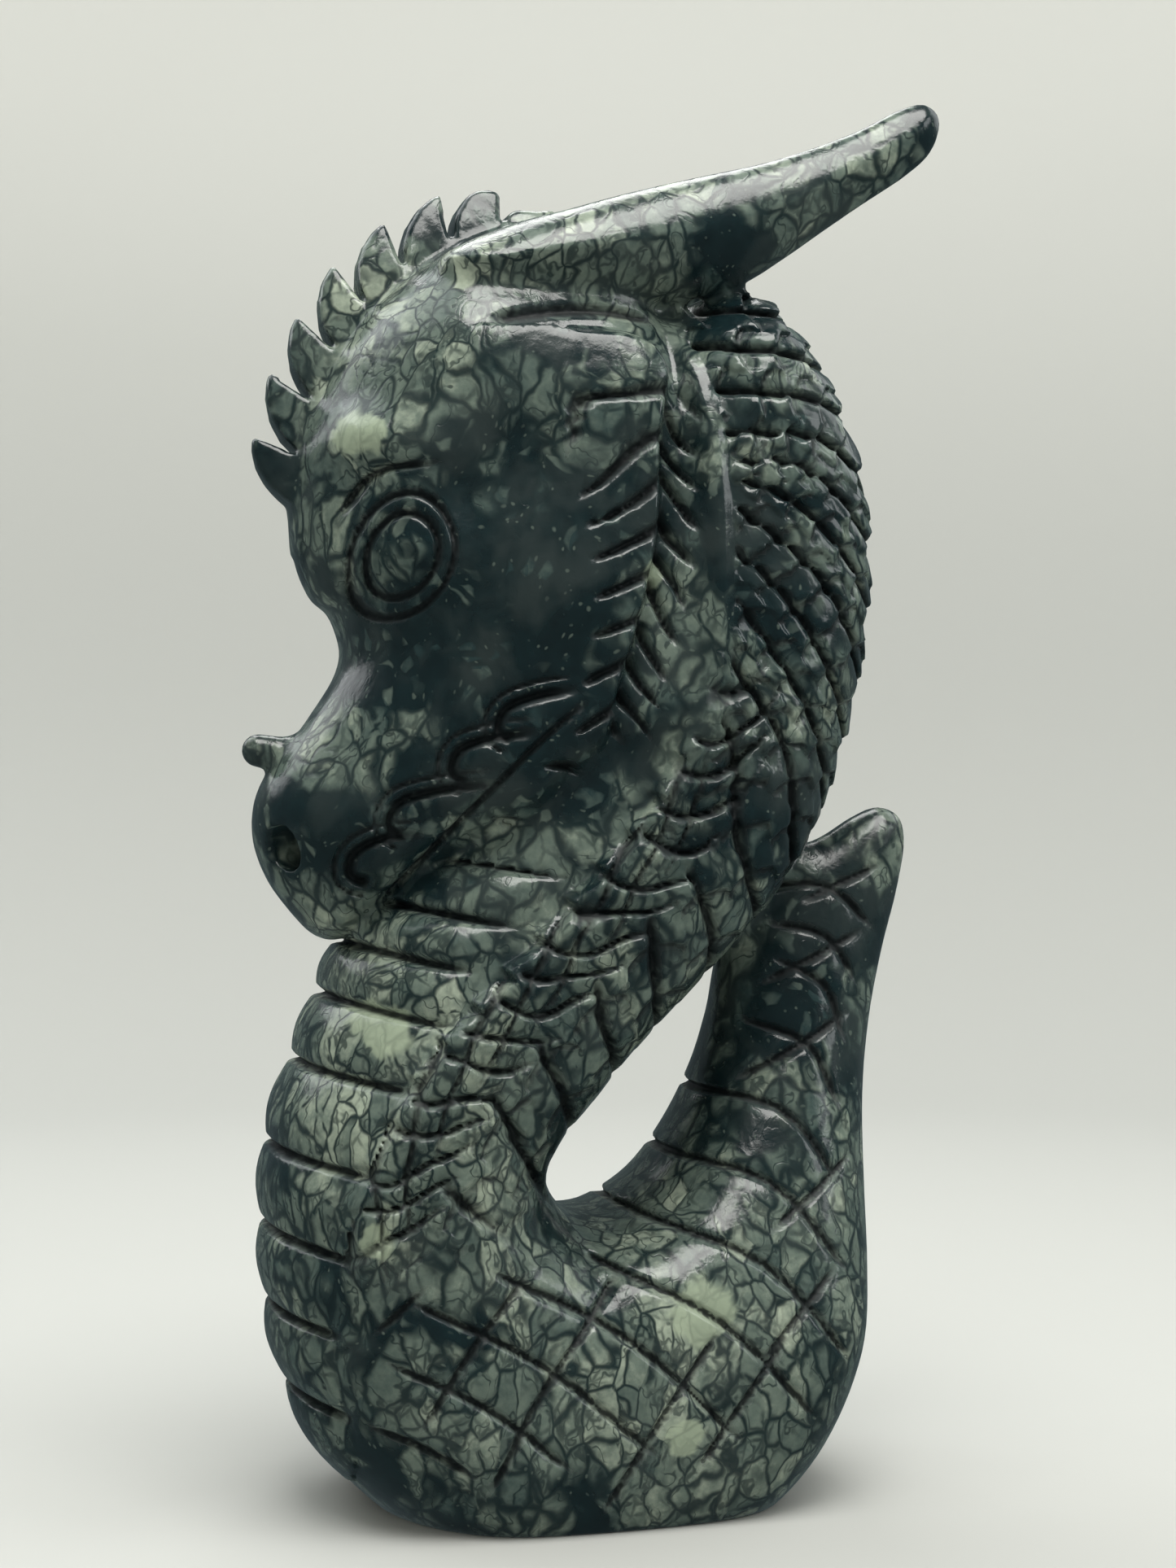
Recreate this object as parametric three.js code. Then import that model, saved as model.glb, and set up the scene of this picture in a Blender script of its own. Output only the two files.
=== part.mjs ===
// A dragon carved from one block of green jasper, about 200 mm tall: a crested, horned head on a thick scaled
// neck, a plated chest, a rounded base that it stands on, and a tail that rises behind and leans on the neck.
// The block is worked like the real one. Each mass is an outline in the side plane (x forwards to back, z up)
// with its own thickness across and its own rounding, the masses are blended into one solid, and the carving is
// cut into the flanks. The solid is the zero level of that distance field, meshed and then thinned.
// Millimetres, +Z up, nose towards -X, left and right sides mirrored in y.
import * as THREE from "three";

// Driving dimensions.
const HEIGHT = 200; // floor to horn tips
const NECK_THICKNESS = 56; // across the flanks of the neck and body
const CHEST_RECESS = 2.4; // how far the plated chest lies below the scaled neck
const CHEEK_THICKNESS = 58; // across the back of the head
const FRILL_STEP = 4.5; // how far the cheek's back edge stands off the head behind it
const SNOUT_THICKNESS = 29; // across the nose
const CROWN_THICKNESS = 36; // across the top of the head
const TAIL_ROOT_THICKNESS = 55; // across the base, where the tail starts
const TAIL_TIP_THICKNESS = 13;
const HORN_ROOT_THICKNESS = 18;
const HORN_TIP_THICKNESS = 8;
const HORN_ROOT_SPACING = 25; // between the two horns' middles
const HORN_TIP_SPACING = 28;
const CREST_THICKNESS = 8; // at the foot of the spikes
const SPIKE_HEIGHT = 6.4;
const SPIKE_COUNT = 8;
const NOSTRIL_DIAMETER = 6.4;
const NOSTRIL_DEPTH = 10;
const EYE_HEIGHT = 11.4;
const EYELID_HEIGHT = 16.6;
const EYELID_CUT_DEPTH = 1.7;
const PLATE_CUT_DEPTH = 1.8;
const SCALE_CUT_DEPTH = 1.4;
const SCALE_STEP = 0.6; // from one scale down to the next
const HATCH_CUT_DEPTH = 1.2;
const LIP_CUT_DEPTH = 1.4;
const FRILL_CUT_DEPTH = 1.6;
const EAR_FOLD_DEPTH = 1.6;
const CUT_WIDTH = 2.8; // at the surface

// Meshing.
const CELL = 1.2; // spacing of the sampling grid
const TRIANGLES = 9600; // left after thinning

// Outlines and places are drawn for a figure 200 units tall, so one unit is this many millimetres.
const UNIT = HEIGHT / 200;

// The neck, chest and front of the base, clockwise from the nape.
const NECK_OUTLINE = [
  [22, 172], [30.5, 164], [35.6, 154.5], [38.6, 145], [39.6, 135], [39.2, 125], [37.4, 114], [34.6, 104],
  [31, 94], [26, 85.5], [19, 77.6], [11, 69.6], [4, 62.5], [-2, 55.5], [-6.6, 50], [-8, 46], [-5, 41], [4, 36],
  [14, 30], [22, 20], [22, 11], [16, 1], [4, -6], [-8, -7.5], [-22, -6], [-33, 1], [-40.6, 10], [-45, 21],
  [-46.8, 33], [-47, 44], [-46, 53], [-43.2, 61.5], [-40.4, 69], [-37.6, 76], [-34, 84], [-22, 98], [-10, 122],
  [0, 150], [10, 168],
];
// The base and tail, clockwise from the tail's tip.
const TAIL_OUTLINE = [
  [47.8, 96.8], [48.8, 93.4], [47.6, 86], [45, 77], [42.6, 67], [41, 56], [40.4, 44], [40, 32], [39, 22],
  [35.6, 12], [30, 3], [22, -4], [12, -7.5], [-4, -8.5], [-20, -6], [-29, 4], [-23, 20], [-12, 31], [-3.5, 39],
  [2.5, 41.2], [8, 45], [12.6, 51.5], [16.4, 60], [18.6, 68], [20, 76], [24, 84.6], [29.6, 91], [36, 93.6],
  [41, 96.6], [44.8, 98],
];
// The head, clockwise from the crown past brow, nose and chin.
const HEAD_OUTLINE = [
  [-5, 182.4], [-12.5, 181.4], [-20, 178.4], [-27, 173.6], [-33, 168], [-37.6, 161.4], [-40.6, 154],
  [-42.4, 147], [-43.6, 140.5], [-43.2, 135.6], [-42, 130.8], [-40.2, 127.4], [-37.6, 125.4], [-37.2, 121],
  [-38.4, 115.5],
  [-41, 110.2], [-44, 106.4], [-46.6, 102.6], [-48.2, 98.4], [-48.4, 93.4], [-46.8, 88.4], [-44, 84.2],
  [-39.8, 80], [-36.8, 79.6], [-30, 84], [-21, 89.6], [-11, 95], [0, 100], [10, 108], [16, 120], [19, 136],
  [18, 150], [16, 162], [12, 172], [4, 180],
];
const HORN_OUTLINE = [
  [-24, 174], [-15, 179], [-5.6, 182.2], [2, 184.6], [11.5, 187.2], [23.6, 190.4], [36, 195.2], [43.2, 199],
  [46.6, 199.8], [48.6, 198.4], [48.8, 196.2], [47.4, 192.8], [44, 189.6], [37, 184.8], [31, 180.6],
  [25.4, 176.6], [19, 172.6], [10, 170.2], [0, 169.4], [-10, 169.4], [-20, 170],
];
// The ridge that the spikes stand on, from the brow up and back.
const CREST_LINE = [
  [-42.8, 140.5], [-42.4, 150], [-38.8, 161], [-32.4, 171], [-24.4, 177.4], [-14, 181.8], [-5, 182.8],
];
// The back of the neck from the nape down to the waist and on over the base, which the scales follow.
const BACK_LINE = [
  [20, 174], [35.6, 154.5], [39.6, 135], [37.4, 114], [31, 94], [19, 77.6], [4, 62.5], [-6, 48], [-12, 34],
];
// The ridge behind the frill, then the seam between plated chest and scaled neck down to the base.
const RIDGE_LINE = [[7, 166], [9.4, 155], [10.8, 140], [11, 126], [9.4, 112], [5, 101], [-8.5, 86.3]];
const FRINGE_LINE = [
  [9, 130], [9, 116], [4, 102], [-8.5, 86.3], [-19, 75], [-28.8, 64.7], [-35, 54], [-38.8, 43], [-40, 31],
  [-38, 16],
];
// The back edge of the cheek down to the jaw, and with the ear's top edge before it.
const FRILL_EDGE = [[4, 154], [3, 148], [2.6, 136], [0, 124], [-2.6, 115], [-4, 106]];
const CHEEK_LINE = [[-8, 163.5], [-1, 163.2], [3.2, 161.6], [4.8, 158], ...FRILL_EDGE];
// Where the frill's strokes are counted from, straight up from its edge.
const FRILL_TOP = [4.6, 174.1];
const MOUTH_LINE = [[-31.6, 86.6], [-24.1, 95.7], [-16.6, 104.3], [-12.2, 108.7], [-6.5, 113.5]];
// The levels of the cuts between the chest plates.
const PLATE_LEVELS = [5, 17, 28, 39, 50.5, 63, 73, 81, 88, 96];

const clamp = (v, low, high) => Math.min(high, Math.max(low, v));
const smooth = (low, high, v) => {
  const t = clamp((v - low) / (high - low), 0, 1);
  return t * t * (3 - 2 * t);
};
const between = ([low, high], v) => smooth(low, high, v);
const mix = (a, b, t) => a + (b - a) * t;
// The lower of two distances, blended over the width k, and the higher.
const blend = (a, b, k) => {
  const h = Math.max(k - Math.abs(a - b), 0) / k;
  return Math.min(a, b) - (h * h * k) / 4;
};
const cut = (a, b, k) => -blend(-a, -b, k);

const curveThrough = (points, closed = false) =>
  new THREE.CatmullRomCurve3(
    points.map(([x, z]) => new THREE.Vector3(x * UNIT, 0, z * UNIT)),
    closed,
    "centripetal",
  );

// A curve as a chain of samples, with the length run at each.
function chain(curve, steps) {
  const samples = curve.getPoints(steps);
  const lengths = [0];
  for (let i = 1; i < samples.length; i++) {
    lengths.push(lengths[i - 1] + samples[i].distanceTo(samples[i - 1]));
  }
  return { samples, lengths, length: lengths.at(-1) };
}
const lineThrough = (points, closed) => chain(curveThrough(points, closed), points.length * 5);

// Where (x, z) lies by a line: distance, distance signed by side, length run, and for a closed line the
// distance made negative inside it.
function nearest({ samples, lengths }, x, z) {
  let best = Infinity;
  let along = 0;
  let side = 1;
  let inside = false;
  for (let i = 0; i + 1 < samples.length; i++) {
    const a = samples[i];
    const b = samples[i + 1];
    const dx = b.x - a.x;
    const dz = b.z - a.z;
    const t = clamp(((x - a.x) * dx + (z - a.z) * dz) / (dx * dx + dz * dz), 0, 1);
    const ex = x - a.x - t * dx;
    const ez = z - a.z - t * dz;
    const squared = ex * ex + ez * ez;
    if (squared < best) {
      best = squared;
      along = lengths[i] + t * (lengths[i + 1] - lengths[i]);
      side = dz * (x - a.x) - dx * (z - a.z) > 0 ? 1 : -1;
    }
    if (a.z > z !== b.z > z && x < a.x + ((z - a.z) / dz) * dx) inside = !inside;
  }
  const distance = Math.sqrt(best);
  return { distance, signed: side * distance, along, inward: inside ? -distance : distance };
}

const neckLine = lineThrough(NECK_OUTLINE, true);
const tailLine = lineThrough(TAIL_OUTLINE, true);
const headLine = lineThrough(HEAD_OUTLINE, true);
const hornLine = lineThrough(HORN_OUTLINE, true);
const crestLine = lineThrough(CREST_LINE);
const backLine = lineThrough(BACK_LINE);
const ridgeLine = lineThrough(RIDGE_LINE);
const fringeLine = lineThrough(FRINGE_LINE);
const cheekLine = lineThrough(CHEEK_LINE);
const frillLine = lineThrough([FRILL_TOP, ...FRILL_EDGE]);
const mouthLine = lineThrough(MOUTH_LINE);

// Distance to a mass, from its outline, half its thickness, and the width and fullness of its rounded rim.
function massDistance(inward, y, half, rim, fullness) {
  const a = Math.max(inward + rim, 0) / rim;
  const b = Math.abs(y) / half;
  const q = Math.pow(Math.pow(a, fullness) + Math.pow(b, fullness), 1 / fullness);
  if (q < 1e-6) return -Math.min(half, rim);
  const slope = Math.hypot(Math.pow(a / q, fullness - 1) / rim, Math.pow(b / q, fullness - 1) / half);
  return (q - 1) / slope;
}

// A rounded V cut: 1 at its middle and 0 at its edges.
const groove = (distance, width = CUT_WIDTH) => {
  const t = clamp(1 - (2 * Math.abs(distance)) / width, 0, 1);
  return t * t * (3 - 2 * t);
};
// The part of its step that a length has run, from 0 to 1, and how far it is from the nearest step's end.
const share = (run, pitch) => run / pitch - Math.floor(run / pitch);
const toStep = (run, pitch) => (run / pitch - Math.round(run / pitch)) * pitch;
const hump = (x, z, [cx, cz], radius) =>
  Math.exp(-((x - cx * UNIT) ** 2 + (z - cz * UNIT) ** 2) / (radius * UNIT) ** 2);

// A single bowed cut between two places, and how deep one of a list of them reaches at (x, z), from 0 to 1.
function strokeBetween([ax, az], [bx, bz], bow) {
  const middle = [(ax + bx) / 2 - (bz - az) * bow, (az + bz) / 2 + (bx - ax) * bow];
  const line = chain(curveThrough([[ax, az], middle, [bx, bz]]), 8);
  return { ...line, centre: line.samples[4] };
}
function strokeDepth(list, x, z, width = CUT_WIDTH) {
  let deepest = 0;
  for (const stroke of list) {
    if (Math.hypot(x - stroke.centre.x, z - stroke.centre.z) > 0.6 * stroke.length + width) continue;
    const { distance, along } = nearest(stroke, x, z);
    const taper = smooth(0, 3, along) * smooth(0, 3, stroke.length - along);
    deepest = Math.max(deepest, groove(distance, width) * mix(0.25, 1, taper));
  }
  return deepest;
}

// Chest plates: level bands that tip down to the back, each a little crowned, with the cuts fading backwards.
const PLATE_TIP = 0.22;
const PLATE_CROWN = 1;
const PLATE_LENGTH = 17; // from the front edge back to where a cut ends
function plates(x, z, inward) {
  const level = z / UNIT + PLATE_TIP * (x / UNIT + 44);
  const i = PLATE_LEVELS.findIndex((top) => top > level);
  if (i < 1) return 0;
  const [low, high] = [PLATE_LEVELS[i - 1], PLATE_LEVELS[i]];
  const crown = Math.sin((Math.PI * (level - low)) / (high - low));
  const fade = smooth(PLATE_LENGTH, 0.6 * PLATE_LENGTH, -inward);
  return fade * (PLATE_CROWN * crown - PLATE_CUT_DEPTH * groove(Math.min(level - low, high - level) * UNIT));
}

// Scales: rows of deep cuts slanting down and out to the back, each row stepped like laid slates.
const SCALE_ROW_PITCH = 6.3 * UNIT;
const SCALE_PITCH = 5.6 * UNIT;
const ROW_SLANT = 0.72; // radians between a row and the back's run
const STEP_SLANT = 0.8;
const BEND_FROM = 75 * UNIT; // run down the back at which the rows start to turn square across the neck
const BEND_RUN = 30 * UNIT;
const BEND = 0.45;
const PILLOW = 0.6; // how far a scale's middle stands off its edges
function scales({ along, distance }) {
  const turn = clamp((along - BEND_FROM) / BEND_RUN, 0, 1);
  const bent = BEND_RUN * (turn ** 3 - turn ** 4 / 2) + Math.max(along - BEND_FROM - BEND_RUN, 0);
  const row = along * Math.sin(ROW_SLANT) + distance * (Math.cos(ROW_SLANT) - BEND * smooth(0, 1, turn));
  const step = along * Math.sin(STEP_SLANT) - distance * Math.cos(STEP_SLANT) - BEND * bent;
  const pillow = Math.sqrt(Math.sin(Math.PI * share(row, SCALE_ROW_PITCH)));
  const rowCut = groove(toStep(row, SCALE_ROW_PITCH));
  return SCALE_STEP * (share(step, SCALE_PITCH) - 0.5) + PILLOW * pillow - SCALE_CUT_DEPTH * rowCut;
}

// Crossed cuts over the base and up the tail, in two sets. A set's cuts are strung between two guide curves
// at even steps, and bowed by a share of their length.
const HATCH_SETS = [
  {
    count: 12,
    from: [[-37, 16], [-31, 34.5], [-2, 38.5], [7, 54], [25, 75.5], [24, 86]],
    to: [[-22, 8.5], [5, 10.5], [29, 15.5], [32, 40], [35, 62], [42, 80]],
    bows: [0.05, 0.05, 0.09, 0.2, 0.2, 0.2],
  },
  {
    count: 10,
    from: [[-36.6, 28], [-23.7, 7], [3, 4.5], [19, 27.5], [19, 62], [30, 84]],
    to: [[-29, 35.5], [-3.6, 36], [18.4, 25], [32.7, 39], [37.6, 72], [44, 90]],
    bows: [0, 0.06, 0, 0, 0, 0],
  },
];
const hatchCuts = HATCH_SETS.flatMap(({ count, from, to, bows }) => {
  const [starts, ends] = [curveThrough(from), curveThrough(to)];
  return Array.from({ length: count }, (_, i) => {
    const t = i / (count - 1);
    const at = t * (bows.length - 1);
    const bow = mix(bows[Math.floor(at)], bows[Math.ceil(at)], at % 1);
    const [a, b] = [starts.getPoint(t).divideScalar(UNIT), ends.getPoint(t).divideScalar(UNIT)];
    return strokeBetween([a.x, a.z], [b.x, b.z], bow);
  });
});

// The face. Humps and hollows are [place, radius, height].
const EYE = [-31.2, 132.4];
const EYE_NARROWNESS = 1.36; // its height over its width
const EYE_LEAN = 0.22; // radians that its top tips back
const EYE_BULGE = 2;
const EYELID_BULGE = 1.3;
const EYELID_CUT_WIDTH = 2.5;
const FACE_HUMPS = [
  [[-36.6, 148.6], 4.6, 3], [[-28, 146], 6, 1.8], [[-17, 146], 9, -1.8], [[-24, 141.5], 5, -0.6],
  [[-15, 127], 11, 1.2], [[-37, 119], 6, -1.4], [[-9, 116], 6, -1.2], [[-14, 98.8], 5, 2], [[-42, 98], 6, 1],
  [[-31, 109], 9, 0.8],
];
// Curled folds of the lip, from the tip of the upper arm round to the mouth.
const LIP_CURLS = [
  lineThrough([[-27, 94.6], [-33.4, 94.2], [-37.2, 92], [-37.4, 89], [-34.6, 88]]),
  lineThrough([[-17.5, 101.6], [-26, 100.8], [-31.8, 98.8], [-32.8, 95.8], [-30.4, 94.2]]),
  lineThrough([[-13, 108.4], [-19.5, 107.8], [-24.2, 106], [-25, 103], [-22.6, 101.6]]),
  lineThrough([[-7.5, 114.2], [-14, 113.4], [-18.4, 111.4], [-19.2, 108.6], [-17.2, 107.2]]),
];
const CURL_WIDTH = 2.4;
// Creases of the jaw, then the crease over the eyelid.
const FACE_CUTS = [
  strokeBetween([-19.7, 97], [-11, 93.2], 0.1),
  strokeBetween([-14, 103.8], [-5.4, 102], 0.12),
  strokeBetween([-25.4, 87.8], [-17.4, 85.2], -0.08),
  strokeBetween([-39, 137.4], [-26.5, 144.6], 0.22),
];
// The hollow fold between the ear and the horn.
const EAR_FOLD = [strokeBetween([-20, 164.2], [6, 166.2], 0.06)];
const EAR_FOLD_WIDTH = 3.2;
function face(x, z) {
  let carved = 0;
  for (const [place, radius, height] of FACE_HUMPS) carved += height * hump(x, z, place, radius);
  const [ex, ez] = [x - EYE[0] * UNIT, z - EYE[1] * UNIT];
  const across = (ex * Math.cos(EYE_LEAN) - ez * Math.sin(EYE_LEAN)) * EYE_NARROWNESS;
  const fromEye = Math.hypot(across, ex * Math.sin(EYE_LEAN) + ez * Math.cos(EYE_LEAN));
  carved += EYE_BULGE * (1 - smooth(0, EYE_HEIGHT / 2, fromEye));
  carved += EYELID_BULGE * (1 - smooth(0.42, 0.8, fromEye / EYELID_HEIGHT));
  const rings = Math.max(
    groove(fromEye - EYE_HEIGHT / 2, EYELID_CUT_WIDTH),
    groove(fromEye - EYELID_HEIGHT / 2, EYELID_CUT_WIDTH),
  );
  const mouth = nearest(mouthLine, x, z);
  let lips = groove(mouth.distance) * smooth(mouthLine.length, mouthLine.length * 0.85, mouth.along);
  for (const curl of LIP_CURLS) {
    const { distance, along } = nearest(curl, x, z);
    const fade = smooth(0, 0.35 * curl.length, along) * smooth(0, UNIT, curl.length - along);
    lips = Math.max(lips, fade * groove(distance, CURL_WIDTH));
  }
  lips = Math.max(lips, strokeDepth(FACE_CUTS, x, z));
  const folds = strokeDepth(EAR_FOLD, x, z, EAR_FOLD_WIDTH);
  return carved - EYELID_CUT_DEPTH * rings - LIP_CUT_DEPTH * lips - EAR_FOLD_DEPTH * folds;
}

// Gouges beside a line, at a pitch along it, slanted, and narrowing from the line out to a reach.
function gouges({ along, signed }, pitch, slant, reach, width = GOUGE_WIDTH) {
  const left = 1 - Math.abs(signed) / reach;
  if (left <= 0) return 0;
  const run = along + slant * Math.abs(signed);
  return smooth(0, 0.3, left) * groove(toStep(run, pitch), width * mix(0.4, 1, left));
}

const GOUGE_WIDTH = 3.2;
const FRILL_PITCH = 6.3 * UNIT; // between the strokes that run forwards from the frill's edge
const FLAME_PITCH = 5 * UNIT; // between the gouges behind the frill
const FLAME_SLANT = -1.2;
const FLAME_REACH = 6.5 * UNIT;
const FEATHER_PITCH = 13 * UNIT; // between the feathers of the fringe between chest and scales
const FEATHER_SLANT = -3.6;
const FEATHER_WIDTH = 8;
const FRINGE_BAND = 8 * UNIT;
const FRINGE_HEIGHT = 1.2;
const FRINGE_TUFT = 1.6; // how far the fringe's front edge goes in and out
const RIDGE_HALF = 1.9 * UNIT; // of the width of the ridge in front of the upper neck's scales
const RIDGE_HEIGHT = 1.6;
// Where one kind of carving gives way to the next: none at the first level or place, all at the second.
const CHEST_TOP = [112, 104];
const UPPER_NECK = [90, 104];
const ROWS_TO_EDGE = [88, 106]; // below this the scales' cuts stop short of the neck's outline
const BASE_TOP = [46, 34];
const BASE_FRONT = -26;
const BASE_CLIMB = 0.3; // of the base's top, from its front to its back
const EAR_TOP = [177, 170];
const EAR_FRONT = [-24, -6];
const EAR_BACK = [13, 5]; // above the ear, where the horn grows out of the nape
const ABOVE_EAR = [160, 166];
const NAPE_TOP = [164, 156];
const FLAME_TOP = [157, 150];
const FEATHER_TOP = [108, 100];
const FRILL_START = [159, 157];
// Where the face widens, the crown narrows, the tail thins and the horns spread.
const FACE_RUN = [-52, -6];
const CROWN_RISE = [150, 184];
const TAIL_RISE = [20, 96];
const TAIL_RUN = [0, 24];
const HORN_RUN = [-20, 50];
// The spikes lean by a share of their height, fill a share of their pitch, and the last ones are low.
const SPIKE_LEAN = 0.3;
const SPIKE_FILL = 0.88;
const LAST_SPIKES = [0.78, 0.95];
const LAST_SPIKE_LOSS = 0.8;

// Everything in the field that depends only on the side plane.
function column(x, z) {
  const crest = nearest(crestLine, x, z);
  const fringe = nearest(fringeLine, x, z);
  const cheek = nearest(cheekLine, x, z);
  const edge = nearest(frillLine, x, z);
  const ridge = nearest(ridgeLine, x, z);
  const neck = nearest(neckLine, x, z);
  const u = x / UNIT;
  const w = z / UNIT;

  const tuft = FRINGE_TUFT * (share(fringe.along, FEATHER_PITCH) - 0.5);
  const chest = smooth(-0.8, 1, fringe.signed - tuft) * between(CHEST_TOP, w);
  const base = between(BASE_TOP, w - BASE_CLIMB * (u - BASE_FRONT));
  const upper = between(UPPER_NECK, w);
  const behindRidge = smooth(RIDGE_HALF, RIDGE_HALF + 1, -ridge.signed);
  const behindFringe = smooth(FRINGE_BAND, FRINGE_BAND + 3, -fringe.signed);
  const toEdge = mix(smooth(0, 5, -neck.inward), 1, between(ROWS_TO_EDGE, w));
  const scaled = (1 - base) * mix(behindFringe, behindRidge, upper) * toEdge;
  const feathers =
    fringe.signed < 0 ? gouges(fringe, FEATHER_PITCH, FEATHER_SLANT, FRINGE_BAND, FEATHER_WIDTH) : 0;
  const flames = edge.signed < 0 ? gouges(edge, FLAME_PITCH, FLAME_SLANT, FLAME_REACH) : 0;
  const flameShare = between(FLAME_TOP, w) * smooth(0, 5, frillLine.length - edge.along);
  const tufts = (1 - base) * Math.max(feathers * between(FEATHER_TOP, w), flames * flameShare);
  const hatch = (1 - chest) * strokeDepth(hatchCuts, x, z);
  const fringeMiddle = (fringe.signed + 0.4 * FRINGE_BAND) / (0.45 * FRINGE_BAND);
  const bands =
    RIDGE_HEIGHT * Math.exp(-((ridge.signed / RIDGE_HALF) ** 2)) * upper +
    FRINGE_HEIGHT * Math.exp(-(fringeMiddle ** 2)) * (1 - base) * (1 - upper);
  const rough = scaled * scales(nearest(backLine, x, z)) - FRILL_CUT_DEPTH * tufts + bands;

  const earShare = 1 - between(ABOVE_EAR, w) * (1 - between(EAR_BACK, u));
  const behindCheek = smooth(-1, 1, -cheek.signed) * between(EAR_TOP, w) * between(EAR_FRONT, u) * earShare;
  const frillReach = mix(6, 16, smooth(115, 155, w)) * UNIT;
  const frillSlant = mix(-0.8, -0.24, smooth(140, 157, w + 0.2 * u));
  const strokes = edge.signed > 0 ? gouges(edge, FRILL_PITCH, frillSlant, frillReach) : 0;
  const nape = behindCheek * between(NAPE_TOP, w);
  const rise = between(TAIL_RISE, w) * between(TAIL_RUN, u);
  const faceThickness = mix(SNOUT_THICKNESS, CHEEK_THICKNESS, between(FACE_RUN, u));
  const hornRun = between(HORN_RUN, u);

  const pitch = crestLine.length / SPIKE_COUNT;
  const height = -crest.signed;
  const lean = crest.along - SPIKE_LEAN * height;
  const spikeShare = share(lean, pitch);
  const shrink = 1 - LAST_SPIKE_LOSS * between(LAST_SPIKES, lean / crestLine.length);
  const climb = Math.sqrt(Math.sin(Math.min(spikeShare / SPIKE_FILL, 1) * (Math.PI / 2)));
  const spikeTop = SPIKE_HEIGHT * shrink * climb * smooth(-0.2, 0.2, lean);
  return {
    x,
    z,
    neck: neck.inward,
    neckHalf: NECK_THICKNESS / 2 - CHEST_RECESS * chest,
    neckCarving: chest * plates(x, z, neck.inward) - HATCH_CUT_DEPTH * hatch + rough,
    tail: nearest(tailLine, x, z).inward,
    tailHalf: mix(TAIL_ROOT_THICKNESS, TAIL_TIP_THICKNESS, Math.pow(rise, 0.75)) / 2,
    tailCarving: -HATCH_CUT_DEPTH * hatch,
    head: nearest(headLine, x, z).inward,
    headHalf: mix(faceThickness, CROWN_THICKNESS, between(CROWN_RISE, w)) / 2,
    headCarving:
      face(x, z) + nape * rough - FRILL_STEP * behindCheek -
      FRILL_CUT_DEPTH * strokes * between(FRILL_START, w),
    horn: nearest(hornLine, x, z).inward,
    hornHalf: mix(HORN_ROOT_THICKNESS, HORN_TIP_THICKNESS, hornRun) / 2,
    hornY: mix(HORN_ROOT_SPACING, HORN_TIP_SPACING, hornRun) / 2,
    crest: height,
    spike: cut(height - spikeTop, (spikeShare - SPIKE_FILL) * pitch, 0.6),
  };
}

const NECK_RIM = 19 * UNIT;
const TAIL_RIM = 15 * UNIT;
const HEAD_RIM = 17 * UNIT;
const HORN_RIM = 9 * UNIT;
const RIM_FULLNESS = 2.2;
const HORN_FULLNESS = 1.8;
const SEAM_SOFTNESS = 3.5 * UNIT; // how broadly one mass runs into the next
const CREST_ROOT = 6 * UNIT; // how far the crest reaches into the head
const NOSE_KNOB_RADIUS = 2.3;
const NOSE_KNOB = new THREE.Line3(new THREE.Vector3(-41, 0, 105.4), new THREE.Vector3(-48, 0, 106.2));
const NOSTRIL = new THREE.Vector3(-47.6, 0, 92.7);
const NOSTRIL_SPREAD = 0.62; // of half the snout's thickness
const NOSTRIL_AXIS = new THREE.Vector3(0.95, -0.31, 0).normalize();
for (const place of [NOSE_KNOB.start, NOSE_KNOB.end, NOSTRIL]) place.multiplyScalar(UNIT);
NOSTRIL.y = NOSTRIL_SPREAD * (SNOUT_THICKNESS / 2);
const point = new THREE.Vector3();
const foot = new THREE.Vector3();

// The field at a place in a column: distance to the carving's surface, negative in stone.
function field(c, y) {
  const side = Math.abs(y);
  let d = massDistance(c.neck, y, c.neckHalf, NECK_RIM, RIM_FULLNESS) - c.neckCarving;
  d = blend(d, massDistance(c.tail, y, c.tailHalf, TAIL_RIM, RIM_FULLNESS) - c.tailCarving, SEAM_SOFTNESS);
  d = blend(d, massDistance(c.head, y, c.headHalf, HEAD_RIM, RIM_FULLNESS) - c.headCarving, 2);
  d = blend(d, massDistance(c.horn, side - c.hornY, c.hornHalf, HORN_RIM, HORN_FULLNESS), SEAM_SOFTNESS);
  const crestHalf = (CREST_THICKNESS / 2) * (1 - 0.6 * clamp(c.crest / SPIKE_HEIGHT, 0, 1));
  const fin = cut(blend(c.crest, c.spike, 0.6), side - crestHalf, 1.2);
  d = blend(d, cut(fin, -c.crest - CREST_ROOT, 1), 1.5);
  point.set(c.x, side, c.z);
  NOSE_KNOB.closestPointToPoint(point, true, foot);
  d = blend(d, foot.distanceTo(point) - NOSE_KNOB_RADIUS, 2);
  point.sub(NOSTRIL);
  const depth = point.dot(NOSTRIL_AXIS);
  const bore = Math.sqrt(Math.max(point.lengthSq() - depth * depth, 0)) - NOSTRIL_DIAMETER / 2;
  d = cut(d, -Math.max(bore, depth - NOSTRIL_DEPTH), 0.6);
  return Math.max(d, -c.z);
}

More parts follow.
